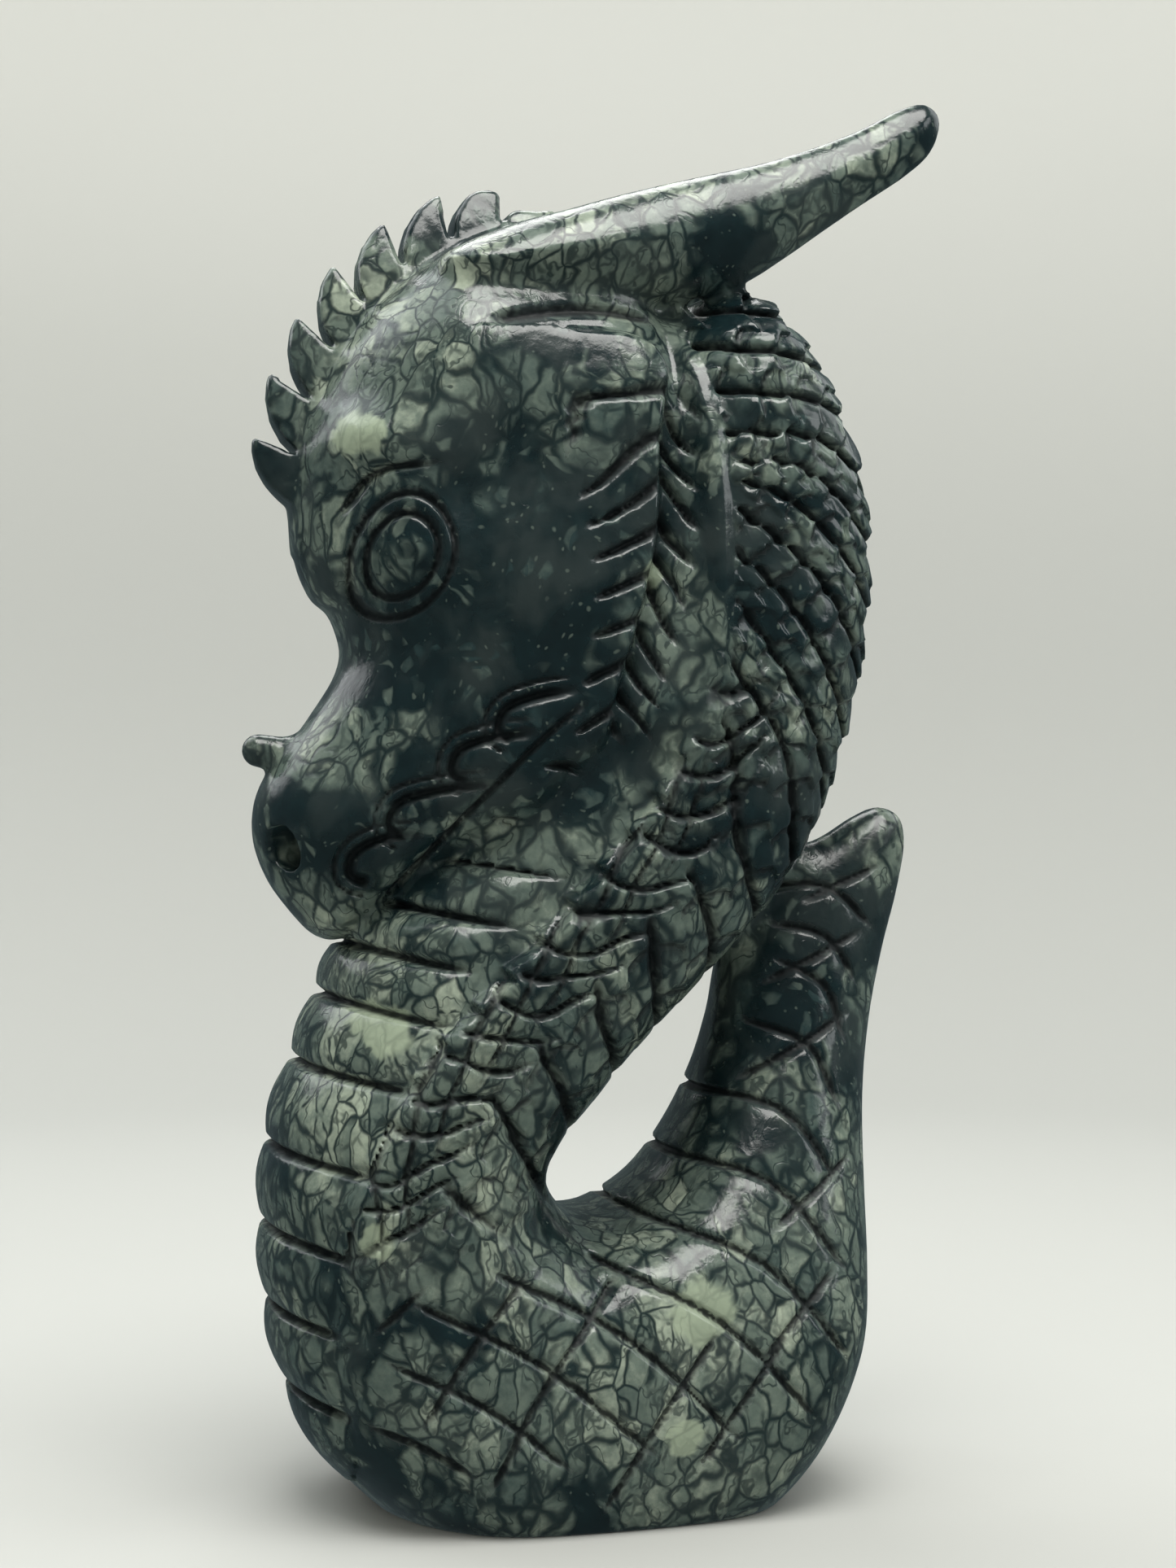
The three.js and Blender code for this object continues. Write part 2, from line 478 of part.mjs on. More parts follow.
// The surface of one flank, from the middle plane y = 0 outwards. Samples the field on a grid and walks it by
// tetrahedra, six to a cell, so that the surface has no gaps and ends exactly on the middle plane.
const CELL_TETRAHEDRA = [[0, 1, 3, 7], [0, 3, 2, 7], [0, 2, 6, 7], [0, 6, 4, 7], [0, 4, 5, 7], [0, 5, 1, 7]];
function flankSurface() {
  const low = new THREE.Vector3(-56 * UNIT, 0, -2 * UNIT);
  const high = new THREE.Vector3(56 * UNIT, 34 * UNIT, 206 * UNIT);
  const [nx, ny, nz] = high.clone().sub(low).divideScalar(CELL).ceil().addScalar(1).toArray();
  const values = new Float32Array(nx * ny * nz);
  const nodeAt = (i, j, k) => (k * nx + i) * ny + j;
  for (let k = 0; k < nz; k++)
    for (let i = 0; i < nx; i++) {
      const c = column(low.x + i * CELL, low.z + k * CELL);
      for (let j = 0; j < ny; j++) values[nodeAt(i, j, k)] = field(c, j * CELL);
    }
  const points = [];
  const faces = [];
  const known = new Map();
  // The vertex where the surface crosses the grid edge between two corners, whose numbers hold bits x, y, z.
  const crossing = (cell, from, to) => {
    const a = nodeAt(cell[0] + (from & 1), cell[1] + ((from >> 1) & 1), cell[2] + (from >> 2));
    const b = nodeAt(cell[0] + (to & 1), cell[1] + ((to >> 1) & 1), cell[2] + (to >> 2));
    const key = Math.min(a, b) * values.length + Math.max(a, b);
    if (known.has(key)) return known.get(key);
    const t = clamp(values[a] / (values[a] - values[b]), 0.02, 0.98);
    const place = (bit, axis) => cell[axis] + mix((from >> bit) & 1, (to >> bit) & 1, t);
    points.push(low.x + CELL * place(0, 0), CELL * place(1, 1), low.z + CELL * place(2, 2));
    known.set(key, points.length / 3 - 1);
    return points.length / 3 - 1;
  };
  for (let k = 0; k + 1 < nz; k++)
    for (let i = 0; i + 1 < nx; i++)
      for (let j = 0; j + 1 < ny; j++) {
        let stoneCorners = 0;
        for (let bits = 0; bits < 8; bits++) {
          const corner = nodeAt(i + (bits & 1), j + ((bits >> 1) & 1), k + (bits >> 2));
          if (values[corner] < 0) stoneCorners += 1 << bits;
        }
        if (stoneCorners === 0 || stoneCorners === 255) continue;
        const cross = (a, b) => crossing([i, j, k], a, b);
        for (const corners of CELL_TETRAHEDRA) {
          const inside = corners.filter((c) => (stoneCorners >> c) & 1);
          const outside = corners.filter((c) => !((stoneCorners >> c) & 1));
          if (!inside.length || !outside.length) continue;
          const odd = isOddShuffle(corners, [...inside, ...outside]);
          const add = (a, b, c) => (odd ? faces.push(a, b, c) : faces.push(a, c, b));
          if (inside.length === 2) {
            const [p, q, a, b] = [...inside, ...outside];
            add(cross(p, a), cross(q, b), cross(p, b));
            add(cross(p, a), cross(q, a), cross(q, b));
          } else {
            const [[p], [a, b, c]] = inside.length === 1 ? [inside, outside] : [outside, inside];
            add(cross(p, a), cross(p, c), cross(p, b));
          }
        }
      }
  return { points, faces };
}

// Whether one order of four corners is an odd shuffle of another.
function isOddShuffle(from, to) {
  const order = to.map((corner) => from.indexOf(corner));
  let odd = false;
  for (let a = 0; a < 4; a++) for (let b = a + 1; b < 4; b++) if (order[a] > order[b]) odd = !odd;
  return odd;
}

// Thins a surface by collapsing, cheapest first, the edge whose merged vertex lies closest to the planes of
// the faces round it. Vertices on the middle plane stay on it, so that the two flanks still meet.
function thin({ points, faces }, wanted) {
  const vertexCount = points.length / 3;
  const position = Float64Array.from(points);
  const face = Int32Array.from(faces);
  const seam = Uint8Array.from({ length: vertexCount }, (_, v) => (position[3 * v + 1] === 0 ? 1 : 0));
  const facesOf = Array.from({ length: vertexCount }, () => []);
  const quadric = new Float64Array(vertexCount * 10);
  const version = new Int32Array(vertexCount);
  const p = new THREE.Vector3();
  const q = new THREE.Vector3();
  const r = new THREE.Vector3();
  const normal = new THREE.Vector3();
  const readNormal = (f) => {
    p.fromArray(position, 3 * face[3 * f]);
    q.fromArray(position, 3 * face[3 * f + 1]).sub(p);
    r.fromArray(position, 3 * face[3 * f + 2]).sub(p);
    return normal.crossVectors(q, r);
  };
  for (let f = 0; 3 * f < face.length; f++) {
    const twiceArea = readNormal(f).length();
    const { x, y, z } = normal.divideScalar(twiceArea || 1);
    const w = -(x * p.x + y * p.y + z * p.z);
    const terms = [x * x, x * y, x * z, x * w, y * y, y * z, y * w, z * z, z * w, w * w];
    for (let c = 0; c < 3; c++) {
      const v = face[3 * f + c];
      facesOf[v].push(f);
      terms.forEach((term, i) => (quadric[10 * v + i] += term * twiceArea));
    }
  }
  const PULL = 1e-4; // a weak pull to the edge's middle keeps flat stretches well shaped
  const sum = new Float64Array(10);
  const target = new THREE.Vector3();
  // Sets target to the best merged vertex of an edge and returns its error.
  const judge = (a, b) => {
    for (let i = 0; i < 10; i++) sum[i] = quadric[10 * a + i] + quadric[10 * b + i];
    const mx = (position[3 * a] + position[3 * b]) / 2;
    const my = (position[3 * a + 1] + position[3 * b + 1]) / 2;
    const mz = (position[3 * a + 2] + position[3 * b + 2]) / 2;
    const weight = PULL * (sum[0] + sum[4] + sum[7]);
    const [xx, xy, xz, xw] = [sum[0] + weight, sum[1], sum[2], sum[3] - weight * mx];
    const [yy, yz, yw] = [sum[4] + weight, sum[5], sum[6] - weight * my];
    const [zz, zw] = [sum[7] + weight, sum[8] - weight * mz];
    if (seam[a] || seam[b]) {
      const det = xx * zz - xz * xz;
      target.set((xz * zw - xw * zz) / det, 0, (xz * xw - zw * xx) / det);
    } else {
      const cx = yy * zz - yz * yz;
      const cy = xz * yz - xy * zz;
      const cz = xy * yz - xz * yy;
      const det = xx * cx + xy * cy + xz * cz;
      target.set(
        -(cx * xw + cy * yw + cz * zw) / det,
        -(cy * xw + (xx * zz - xz * xz) * yw + (xy * xz - xx * yz) * zw) / det,
        -(cz * xw + (xy * xz - xx * yz) * yw + (xx * yy - xy * xy) * zw) / det,
      );
    }
    const { x, y, z } = target;
    return (
      x * (sum[0] * x + 2 * (sum[1] * y + sum[2] * z + sum[3])) + y * (sum[4] * y + 2 * (sum[5] * z + sum[6])) +
      z * (sum[7] * z + 2 * sum[8]) + sum[9] + weight * ((x - mx) ** 2 + (y - my) ** 2 + (z - mz) ** 2)
    );
  };
  const heap = new EdgeHeap();
  const offer = (a, b) => heap.push({ cost: judge(a, b), a, b, stamp: version[a] + version[b] });
  const neighbours = (v) => {
    const found = new Set();
    for (const f of facesOf[v]) for (let c = 0; c < 3; c++) found.add(face[3 * f + c]);
    found.delete(v);
    return found;
  };
  for (let f = 0; 3 * f < face.length; f++)
    for (let c = 0; c < 3; c++) {
      const [a, b] = [face[3 * f + c], face[3 * f + ((c + 1) % 3)]];
      if (a < b || (seam[a] && seam[b])) offer(a, b);
    }
  // Whether a face keeps its side when its vertex v moves to target.
  const turnsOver = (f, v) => {
    readNormal(f);
    const before = normal.clone();
    const corner = [0, 1, 2].find((c) => face[3 * f + c] === v);
    q.fromArray(position, 3 * face[3 * f + ((corner + 1) % 3)]).sub(target);
    r.fromArray(position, 3 * face[3 * f + ((corner + 2) % 3)]).sub(target);
    normal.crossVectors(q, r);
    return normal.dot(before) < 0.25 * normal.length() * before.length() || normal.length() < 1e-6;
  };
  let left = face.length / 3;
  while (left > wanted) {
    const edge = heap.pop();
    if (!edge) break;
    const { a, b } = edge;
    if (!facesOf[a] || !facesOf[b] || version[a] + version[b] !== edge.stamp) continue;
    const shared = facesOf[a].filter((f) => [0, 1, 2].some((corner) => face[3 * f + corner] === b));
    const round = neighbours(a);
    if (!round.has(b)) continue;
    const common = [...neighbours(b)].filter((v) => round.has(v));
    const onSeam = seam[a] && seam[b];
    if (common.length !== shared.length || shared.length !== (onSeam ? 1 : 2)) continue;
    judge(a, b);
    const kept = (v) => facesOf[v].filter((f) => !shared.includes(f));
    if (kept(a).some((f) => turnsOver(f, a)) || kept(b).some((f) => turnsOver(f, b))) continue;
    target.toArray(position, 3 * a);
    seam[a] |= seam[b];
    for (let i = 0; i < 10; i++) quadric[10 * a + i] += quadric[10 * b + i];
    for (const f of kept(b)) {
      for (let c = 0; c < 3; c++) if (face[3 * f + c] === b) face[3 * f + c] = a;
      facesOf[a].push(f);
    }
    for (const f of shared) {
      for (let c = 0; c < 3; c++) {
        const v = face[3 * f + c];
        if (v !== b) facesOf[v] = facesOf[v].filter((other) => other !== f);
        face[3 * f + c] = -1;
      }
    }
    facesOf[b] = null;
    left -= shared.length;
    version[a] += 1;
    for (const v of neighbours(a)) offer(a, v);
  }
  return { points: position, faces: face.filter((v) => v >= 0), seam };
}

// A heap of edges, cheapest on top.
class EdgeHeap {
  items = [];
  push(edge) {
    const { items } = this;
    let at = items.push(edge) - 1;
    while (at > 0) {
      const parent = (at - 1) >> 1;
      if (items[parent].cost <= edge.cost) break;
      items[at] = items[parent];
      at = parent;
    }
    items[at] = edge;
  }
  pop() {
    const { items } = this;
    const top = items[0];
    const last = items.pop();
    if (!items.length) return top;
    let at = 0;
    for (;;) {
      let child = 2 * at + 1;
      if (child >= items.length) break;
      if (child + 1 < items.length && items[child + 1].cost < items[child].cost) child++;
      if (items[child].cost >= last.cost) break;
      items[at] = items[child];
      at = child;
    }
    items[at] = last;
    return top;
  }
}

// Both flanks, joined along the middle plane.
function bothFlanks({ points, faces, seam }) {
  const number = new Map();
  const corners = [];
  const put = (v, side) => {
    const key = seam[v] || side > 0 ? v : -1 - v;
    if (!number.has(key)) {
      number.set(key, corners.length / 3);
      corners.push(points[3 * v], points[3 * v + 1] * side, points[3 * v + 2]);
    }
    return number.get(key);
  };
  const index = [];
  for (let f = 0; f < faces.length; f += 3) {
    const [a, b, c] = faces.slice(f, f + 3);
    index.push(put(a, 1), put(b, 1), put(c, 1), put(a, -1), put(c, -1), put(b, -1));
  }
  const geometry = new THREE.BufferGeometry();
  geometry.setAttribute("position", new THREE.Float32BufferAttribute(corners, 3));
  geometry.setIndex(index);
  return geometry;
}

// The carving stands on the floor, z = 0, its box centred on the origin and its foot ground truly flat.
const FOOT_GRINDING = 0.2;
const flank = thin(flankSurface(), TRIANGLES / 2);
for (let i = 2; i < flank.points.length; i += 3) if (flank.points[i] < FOOT_GRINDING) flank.points[i] = 0;
const geometry = bothFlanks(flank);
geometry.computeBoundingBox();
const box = geometry.boundingBox;
geometry.translate(-(box.min.x + box.max.x) / 2, 0, -box.min.z);
geometry.computeVertexNormals();
const stone = new THREE.MeshStandardMaterial({ color: 0x39463f, roughness: 0.22, metalness: 0 });
const carving = new THREE.Mesh(geometry, stone);
carving.name = "dragon_carving";
const dragon = new THREE.Group();
dragon.add(carving);
export default dragon;
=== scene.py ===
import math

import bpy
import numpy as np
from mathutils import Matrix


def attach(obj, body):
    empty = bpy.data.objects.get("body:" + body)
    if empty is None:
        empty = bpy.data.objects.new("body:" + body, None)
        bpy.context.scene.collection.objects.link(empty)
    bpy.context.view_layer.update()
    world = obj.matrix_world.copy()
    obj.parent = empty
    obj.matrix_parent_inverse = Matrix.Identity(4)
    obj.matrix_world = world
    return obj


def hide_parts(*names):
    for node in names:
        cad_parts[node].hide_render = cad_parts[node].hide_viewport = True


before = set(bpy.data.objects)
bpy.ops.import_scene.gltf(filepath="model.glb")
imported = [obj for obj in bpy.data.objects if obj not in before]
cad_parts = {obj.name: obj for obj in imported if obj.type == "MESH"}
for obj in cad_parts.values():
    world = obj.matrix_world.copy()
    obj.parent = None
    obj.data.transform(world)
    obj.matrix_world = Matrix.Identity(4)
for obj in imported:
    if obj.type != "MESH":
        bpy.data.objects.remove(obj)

# A dragon carved from one block of polished green jasper, seen from its left side.
#
# The carving is made the way the block is worked: each mass (neck, tail, head, horn, crest) is an outline
# in the side plane with its own thickness across and its own rounding, the masses are blended, and the cuts,
# scales, plates and the face are carved into the flanks. That distance field is sampled in millimetres,
# meshed and thinned. In the side plane x runs from nose to tail and z is up; y runs across, 0 at the middle
# plane.

import openvdb
from mathutils import Vector

for leftover in ("Cube", "Light", "Camera"):
    if leftover in bpy.data.objects:
        bpy.data.objects.remove(bpy.data.objects[leftover])

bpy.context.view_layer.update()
NODE = "dragon_carving"
MM = 0.001

# Driving dimensions of the carving, in millimetres.
NECK_THICKNESS = 56
CHEST_RECESS = 2.4  # how far the plated chest lies below the scaled neck
CHEEK_THICKNESS = 58
FRILL_STEP = 4.5  # how far the cheek's back edge stands off the head behind it
SNOUT_THICKNESS = 29
CROWN_THICKNESS = 36
TAIL_ROOT_THICKNESS = 55
TAIL_TIP_THICKNESS = 13
HORN_ROOT_THICKNESS = 18
HORN_TIP_THICKNESS = 8
HORN_ROOT_SPACING = 25  # between the two horns' middles
HORN_TIP_SPACING = 28
CREST_THICKNESS = 8  # at the foot of the spikes
SPIKE_HEIGHT = 6.4
SPIKE_COUNT = 8
NOSTRIL_DIAMETER = 6.4
NOSTRIL_DEPTH = 10
EYE_HEIGHT = 11.4
EYELID_HEIGHT = 16.6
EYELID_CUT_DEPTH = 1.3
PLATE_CUT_DEPTH = 1.7
SCALE_CUT_DEPTH = 1.5
SCALE_STEP = 0.9  # from one scale down to the next
HATCH_CUT_DEPTH = 1.2
LIP_CUT_DEPTH = 1.9
FRILL_CUT_DEPTH = 1.7
EAR_FOLD_DEPTH = 1.6
CUT_WIDTH = 1.9  # at the surface

# Meshing: the grid's cell and what it covers, and how many triangles are kept.
CELL = 0.42
TRIANGLES = 194000
GRID_X = (-55, 55)
GRID_Z = (-1.5, 204)
GRID_HALF_Y = 33

# Outlines of the masses in the side plane, closed, as (x, z) in millimetres.
NECK_OUTLINE = [
    (22, 172), (30.5, 164), (35.6, 154.5), (38.6, 145), (39.6, 135), (39.2, 125), (37.4, 114), (34.6, 104),
    (31, 94), (26, 85.5), (19, 77.6), (11, 69.6), (4, 62.5), (-2, 55.5), (-6.6, 50), (-8, 46), (-5, 41),
    (4, 36), (14, 30), (22, 20), (22, 11), (16, 1), (4, -6), (-8, -7.5), (-22, -6), (-33, 1), (-40.6, 10),
    (-45, 21), (-46.8, 33), (-47, 44), (-46, 53), (-43.2, 61.5), (-40.4, 69), (-37.6, 76), (-34, 84),
    (-22, 98), (-10, 122), (0, 150), (10, 168),
]
TAIL_OUTLINE = [
    (47.8, 96.8), (48.8, 93.4), (47.6, 86), (45, 77), (42.6, 67), (41, 56), (40.4, 44), (40, 32), (39, 22),
    (35.6, 12), (30, 3), (22, -4), (12, -7.5), (-4, -8.5), (-20, -6), (-29, 4), (-23, 20), (-12, 31),
    (-3.5, 39), (2.5, 41.2), (8, 45), (12.6, 51.5), (16.4, 60), (18.6, 68), (20, 76), (24, 84.6),
    (29.6, 91), (36, 93.6), (41, 96.6), (44.8, 98),
]
HEAD_OUTLINE = [
    (-5, 182.4), (-12.5, 181.4), (-20, 178.4), (-27, 173.6), (-33, 168), (-37.6, 161.4), (-40.6, 154),
    (-42.4, 147), (-43.6, 140.5), (-43.2, 135.6), (-42, 130.8), (-40.2, 127.4), (-37.6, 125.4), (-37.2, 121),
    (-38.4, 115.5), (-41, 110.2), (-44, 106.4), (-46.6, 102.6), (-48.2, 98.4), (-48.4, 93.4), (-46.8, 88.4),
    (-44, 84.2), (-39.8, 80), (-36.8, 79.6), (-30, 84), (-21, 89.6), (-11, 95), (0, 100), (10, 108),
    (16, 120), (19, 136), (18, 150), (16, 162), (12, 172), (4, 180),
]
HORN_OUTLINE = [
    (-24, 174), (-15, 179), (-5.6, 182.2), (2, 184.6), (11.5, 187.2), (23.6, 190.4), (36, 195.2), (43.2, 199),
    (46.6, 199.8), (48.6, 198.4), (48.8, 196.2), (47.4, 192.8), (44, 189.6), (37, 184.8), (31, 180.6),
    (25.4, 176.6), (19, 172.6), (10, 170.2), (0, 169.4), (-10, 169.4), (-20, 170),
]

# Lines that the carving follows: the crest's foot, the back of the neck, the ridge in front of the upper
# scales, the fringe between chest and scales, the cheek's back edge with the frill's below it, and the mouth.
CREST_LINE = [
    (-42.8, 140.5), (-42.4, 150), (-38.8, 161), (-32.4, 171), (-24.4, 177.4), (-14, 181.8), (-5, 182.8),
]
BACK_LINE = [
    (20, 174), (35.6, 154.5), (39.6, 135), (37.4, 114), (31, 94), (19, 77.6), (4, 62.5), (-6, 48), (-12, 34),
]
RIDGE_LINE = [(7, 166), (9.4, 155), (10.8, 140), (11, 126), (9.4, 112), (5, 101), (-8.5, 86.3)]
FRINGE_LINE = [
    (9, 130), (9, 116), (4, 102), (-8.5, 86.3), (-19, 75), (-28.8, 64.7), (-35, 54), (-38.8, 43), (-40, 31),
    (-38, 16),
]
FRILL_EDGE = [(4, 154), (3, 148), (2.6, 136), (0, 124), (-2.6, 115), (-4, 106)]
CHEEK_LINE = [(-8, 163.5), (-1, 163.2), (3.2, 161.6), (4.8, 158)] + FRILL_EDGE
FRILL_TOP = (4.6, 174.1)  # where the frill's strokes are counted from
MOUTH_LINE = [(-31.6, 86.6), (-24.1, 95.7), (-16.6, 104.3), (-12.2, 108.7), (-6.5, 113.5)]
PLATE_LEVELS = [5, 17, 28, 39, 50.5, 63, 73, 81, 88, 96]  # of the cuts across the chest


def smooth(low, high, v):
    t = np.clip((v - low) / (high - low), 0, 1)
    return t * t * (3 - 2 * t)


def between(levels, v):
    """0 at the first of two levels and 1 at the second."""
    return smooth(*levels, v)


def mix(a, b, t):
    return a + (b - a) * t


def blend(a, b, k):
    """The lower of two distances, blended over the width k."""
    h = np.maximum(k - np.abs(a - b), 0) / k
    return np.minimum(a, b) - h * h * k / 4


def cut(a, b, k):
    return -blend(-a, -b, k)


def curve_points(points, at, closed=False):
    """Places on a centripetal Catmull-Rom curve, at counted from point to point."""
    p = np.array(points, float)
    n = len(p)
    if closed:
        ring = p[np.arange(-1, n + 2) % n]
    else:
        ring = np.vstack([2 * p[0] - p[1], p, 2 * p[-1] - p[-2]])
    k = np.minimum(at.astype(int), n - (1 if closed else 2))
    w = (at - k)[:, None]
    p0, p1, p2, p3 = (ring[k + i] for i in range(4))
    pairs = ((p0, p1), (p1, p2), (p2, p3))
    d0, d1, d2 = (np.sqrt(np.linalg.norm(b - a, axis=1))[:, None] for a, b in pairs)
    t1 = ((p1 - p0) / d0 - (p2 - p0) / (d0 + d1) + (p2 - p1) / d1) * d1
    t2 = ((p2 - p1) / d1 - (p3 - p1) / (d1 + d2) + (p3 - p2) / d2) * d1
    return p1 + t1 * w + (3 * (p2 - p1) - 2 * t1 - t2) * w**2 + (2 * (p1 - p2) + t1 + t2) * w**3


class Line:
    """A smooth line through drawn points."""

    def __init__(self, points, closed=False, steps=5):
        spans = len(points) if closed else len(points) - 1
        self.samples = curve_points(points, np.linspace(0, spans, spans * steps + 1), closed)
        steps_long = np.linalg.norm(np.diff(self.samples, axis=0), axis=1)
        self.lengths = np.concatenate([[0], np.cumsum(steps_long)])
        self.length = self.lengths[-1]

    def nearest(self, x, z):
        """Distance, distance signed by side, length run, and distance made negative inside a closed line."""
        best = np.full(x.shape, np.inf)
        along = np.zeros(x.shape)
        side = np.ones(x.shape)
        inside = np.zeros(x.shape, bool)
        spans = zip(self.samples, self.samples[1:], self.lengths, self.lengths[1:])
        for (ax, az), (bx, bz), start, end in spans:
            dx, dz = bx - ax, bz - az
            t = np.clip(((x - ax) * dx + (z - az) * dz) / (dx * dx + dz * dz), 0, 1)
            squared = (x - ax - t * dx) ** 2 + (z - az - t * dz) ** 2
            closer = squared < best
            best = np.where(closer, squared, best)
            along = np.where(closer, start + t * (end - start), along)
            side = np.where(closer, np.where(dz * (x - ax) - dx * (z - az) > 0, 1, -1), side)
            if az != bz:
                inside ^= ((az > z) != (bz > z)) & (x < ax + (z - az) / dz * dx)
        distance = np.sqrt(best)
        return distance, side * distance, along, np.where(inside, -distance, distance)


def mass_distance(inward, y, half, rim, fullness):
    """Distance to a mass, from its outline, half its thickness, and its rounded rim's width and fullness."""
    a = np.maximum(inward + rim, 0) / rim
    b = np.abs(y) / half
    q = np.maximum((a**fullness + b**fullness) ** (1 / fullness), 1e-3)
    slope = np.hypot((a / q) ** (fullness - 1) / rim, (b / q) ** (fullness - 1) / half)
    return (q - 1) / np.maximum(slope, 1 / np.maximum(rim, half))


def groove(distance, width=CUT_WIDTH):
    """A rounded V cut: 1 at its middle and 0 at its edges."""
    t = np.clip(1 - 2 * np.abs(distance) / width, 0, 1)
    return t * t * (2 - t)


def share(run, pitch):
    return run / pitch - np.floor(run / pitch)


def to_step(run, pitch):
    return (run / pitch - np.round(run / pitch)) * pitch


def hump(x, z, place, radius):
    return np.exp(-((x - place[0]) ** 2 + (z - place[1]) ** 2) / radius**2)


def waver(x, z, size, seed):
    """A soft unevenness from -1 to 1 with lumps about this size, as a hand at the wheel leaves."""
    waves = 4  # in four directions, with no common length
    total = 0
    for i in range(waves):
        turn = seed + 2.4 * i
        run = x * math.cos(turn) + z * math.sin(turn)
        total += np.sin(run * (2 + 0.37 * i) / size + 5.1 * seed + 1.7 * i)
    return total / waves


def stroke_between(a, b, bow):
    middle = ((a[0] + b[0]) / 2 - (b[1] - a[1]) * bow, (a[1] + b[1]) / 2 + (b[0] - a[0]) * bow)
    return Line([a, middle, b], steps=4)


CUT_TAPER = 4  # run at each end over which a cut comes up


def stroke_depth(strokes, x, z, width=CUT_WIDTH):
    """How deep one of a list of cuts reaches, from 0 to 1."""
    deepest = np.zeros(x.shape)
    for stroke in strokes:
        centre = stroke.samples[len(stroke.samples) // 2]
        close = np.hypot(x - centre[0], z - centre[1]) < 0.6 * stroke.length + width
        distance, _, along, _ = stroke.nearest(x[close], z[close])
        taper = smooth(0, CUT_TAPER, along) * smooth(0, CUT_TAPER, stroke.length - along)
        depth = groove(distance, width * mix(0.6, 1, taper)) * mix(0.1, 1, taper)
        deepest[close] = np.maximum(deepest[close], depth)
    return deepest


# Chest plates: level bands that tip down to the back, each a little crowned, with the cuts fading backwards.
PLATE_TIP = 0.22  # how far they drop for each millimetre back
PLATE_CROWN = 1.0
PLATE_LENGTH = 17  # from the front edge back to where a cut ends
PLATE_FRONT = -44
PLATE_UNEVEN = 0.5


def plates(x, z, inward):
    """How far the plates stand out, and how cut they are."""
    level = z + PLATE_TIP * (x - PLATE_FRONT) + PLATE_UNEVEN * waver(x, z, 14, 1)
    levels = np.array(PLATE_LEVELS, float)
    i = np.clip(np.searchsorted(levels, level), 1, len(levels) - 1)
    low, high = levels[i - 1], levels[i]
    crown = np.sin(np.pi * np.clip((level - low) / (high - low), 0, 1))
    fade = smooth(PLATE_LENGTH, 0.5 * PLATE_LENGTH, -inward + 3 * waver(x, z, 9, 2))
    cuts = groove(np.minimum(level - low, high - level), CUT_WIDTH * mix(0.5, 1.1, fade))
    within = (level > levels[0]) & (level < levels[-1])
    return np.where(within, fade * (PLATE_CROWN * crown - PLATE_CUT_DEPTH * cuts), 0), within * fade * cuts


# Scales: rows of deep cuts slanting down and out to the back, each row stepped like laid slates.
SCALE_ROW_PITCH = 6.3
SCALE_PITCH = 5.6
ROW_SLANT = 0.72  # radians between a row and the back's run
STEP_SLANT = 0.8
BEND_FROM = 75  # run down the back at which the rows start to turn square across the neck
BEND_RUN = 30
BEND = 0.45
PILLOW = 0.6  # how far a scale's middle stands off its edges
SCALE_SAG = 0.09  # of a scale's edge, for each square millimetre from its middle
SCALE_RISE = 0.84  # share of its length over which a scale climbs, and the rest, over which it drops
SCALE_DROP = 0.16
SCALE_EDGE = 0.4  # how deep the cut under a scale is beside the cut between two rows
SCALE_SHIFT = 1.9  # of one row's scales against the next row's


def scales(x, z, distance, along):
    """How far the scales stand out, and how cut they are, by distance from the back and run down it."""
    t = np.clip((along - BEND_FROM) / BEND_RUN, 0, 1)
    bent = BEND_RUN * (t**3 - t**4 / 2) + np.maximum(along - BEND_FROM - BEND_RUN, 0)
    turned = distance * (math.cos(ROW_SLANT) - BEND * smooth(0, 1, t))
    row = along * math.sin(ROW_SLANT) + turned + mix(0.5, 1.2, t) * waver(x, z, 11, 3)
    number = np.round(row / SCALE_ROW_PITCH)
    step = along * math.sin(STEP_SLANT) - BEND * bent - distance * math.cos(STEP_SLANT)
    step = step + SCALE_SHIFT * np.sin(number * 2.3) + 0.5 * waver(x, z, 6, 4)
    step = step - SCALE_SAG * to_step(row, SCALE_ROW_PITCH) ** 2
    rise = share(step, SCALE_PITCH)
    ledge = np.where(rise < SCALE_RISE, rise / SCALE_RISE, (1 - rise) / SCALE_DROP)
    cuts = groove(to_step(row, SCALE_ROW_PITCH), CUT_WIDTH)
    edges = groove(to_step(step + 0.06 * SCALE_PITCH, SCALE_PITCH), 0.6 * CUT_WIDTH)
    pillow = np.sqrt(np.sin(np.pi * share(row, SCALE_ROW_PITCH)))
    depth = 1 + 0.35 * waver(x, z, 7, 5)
    cut_depth = SCALE_CUT_DEPTH * np.maximum(depth * cuts, SCALE_EDGE * edges)
    return SCALE_STEP * (ledge - 0.5) + PILLOW * pillow - cut_depth, np.maximum(cuts, 0.6 * edges)


# Crossed cuts over the base and up the tail, in two sets. A set's cuts are strung between two guide curves
# at even steps, and bowed by a share of their length.
HATCH_SETS = [
    {
        "count": 12,
        "from": [(-37, 16), (-31, 34.5), (-2, 38.5), (7, 54), (25, 75.5), (24, 86)],
        "to": [(-22, 8.5), (5, 10.5), (29, 15.5), (32, 40), (35, 62), (42, 80)],
        "bows": [0.05, 0.05, 0.09, 0.2, 0.2, 0.2],
    },
    {
        "count": 10,
        "from": [(-36.6, 28), (-23.7, 7), (3, 4.5), (19, 27.5), (19, 62), (30, 84)],
        "to": [(-29, 35.5), (-3.6, 36), (18.4, 25), (32.7, 39), (37.6, 72), (44, 90)],
        "bows": [0, 0.06, 0, 0, 0, 0],
    },
]


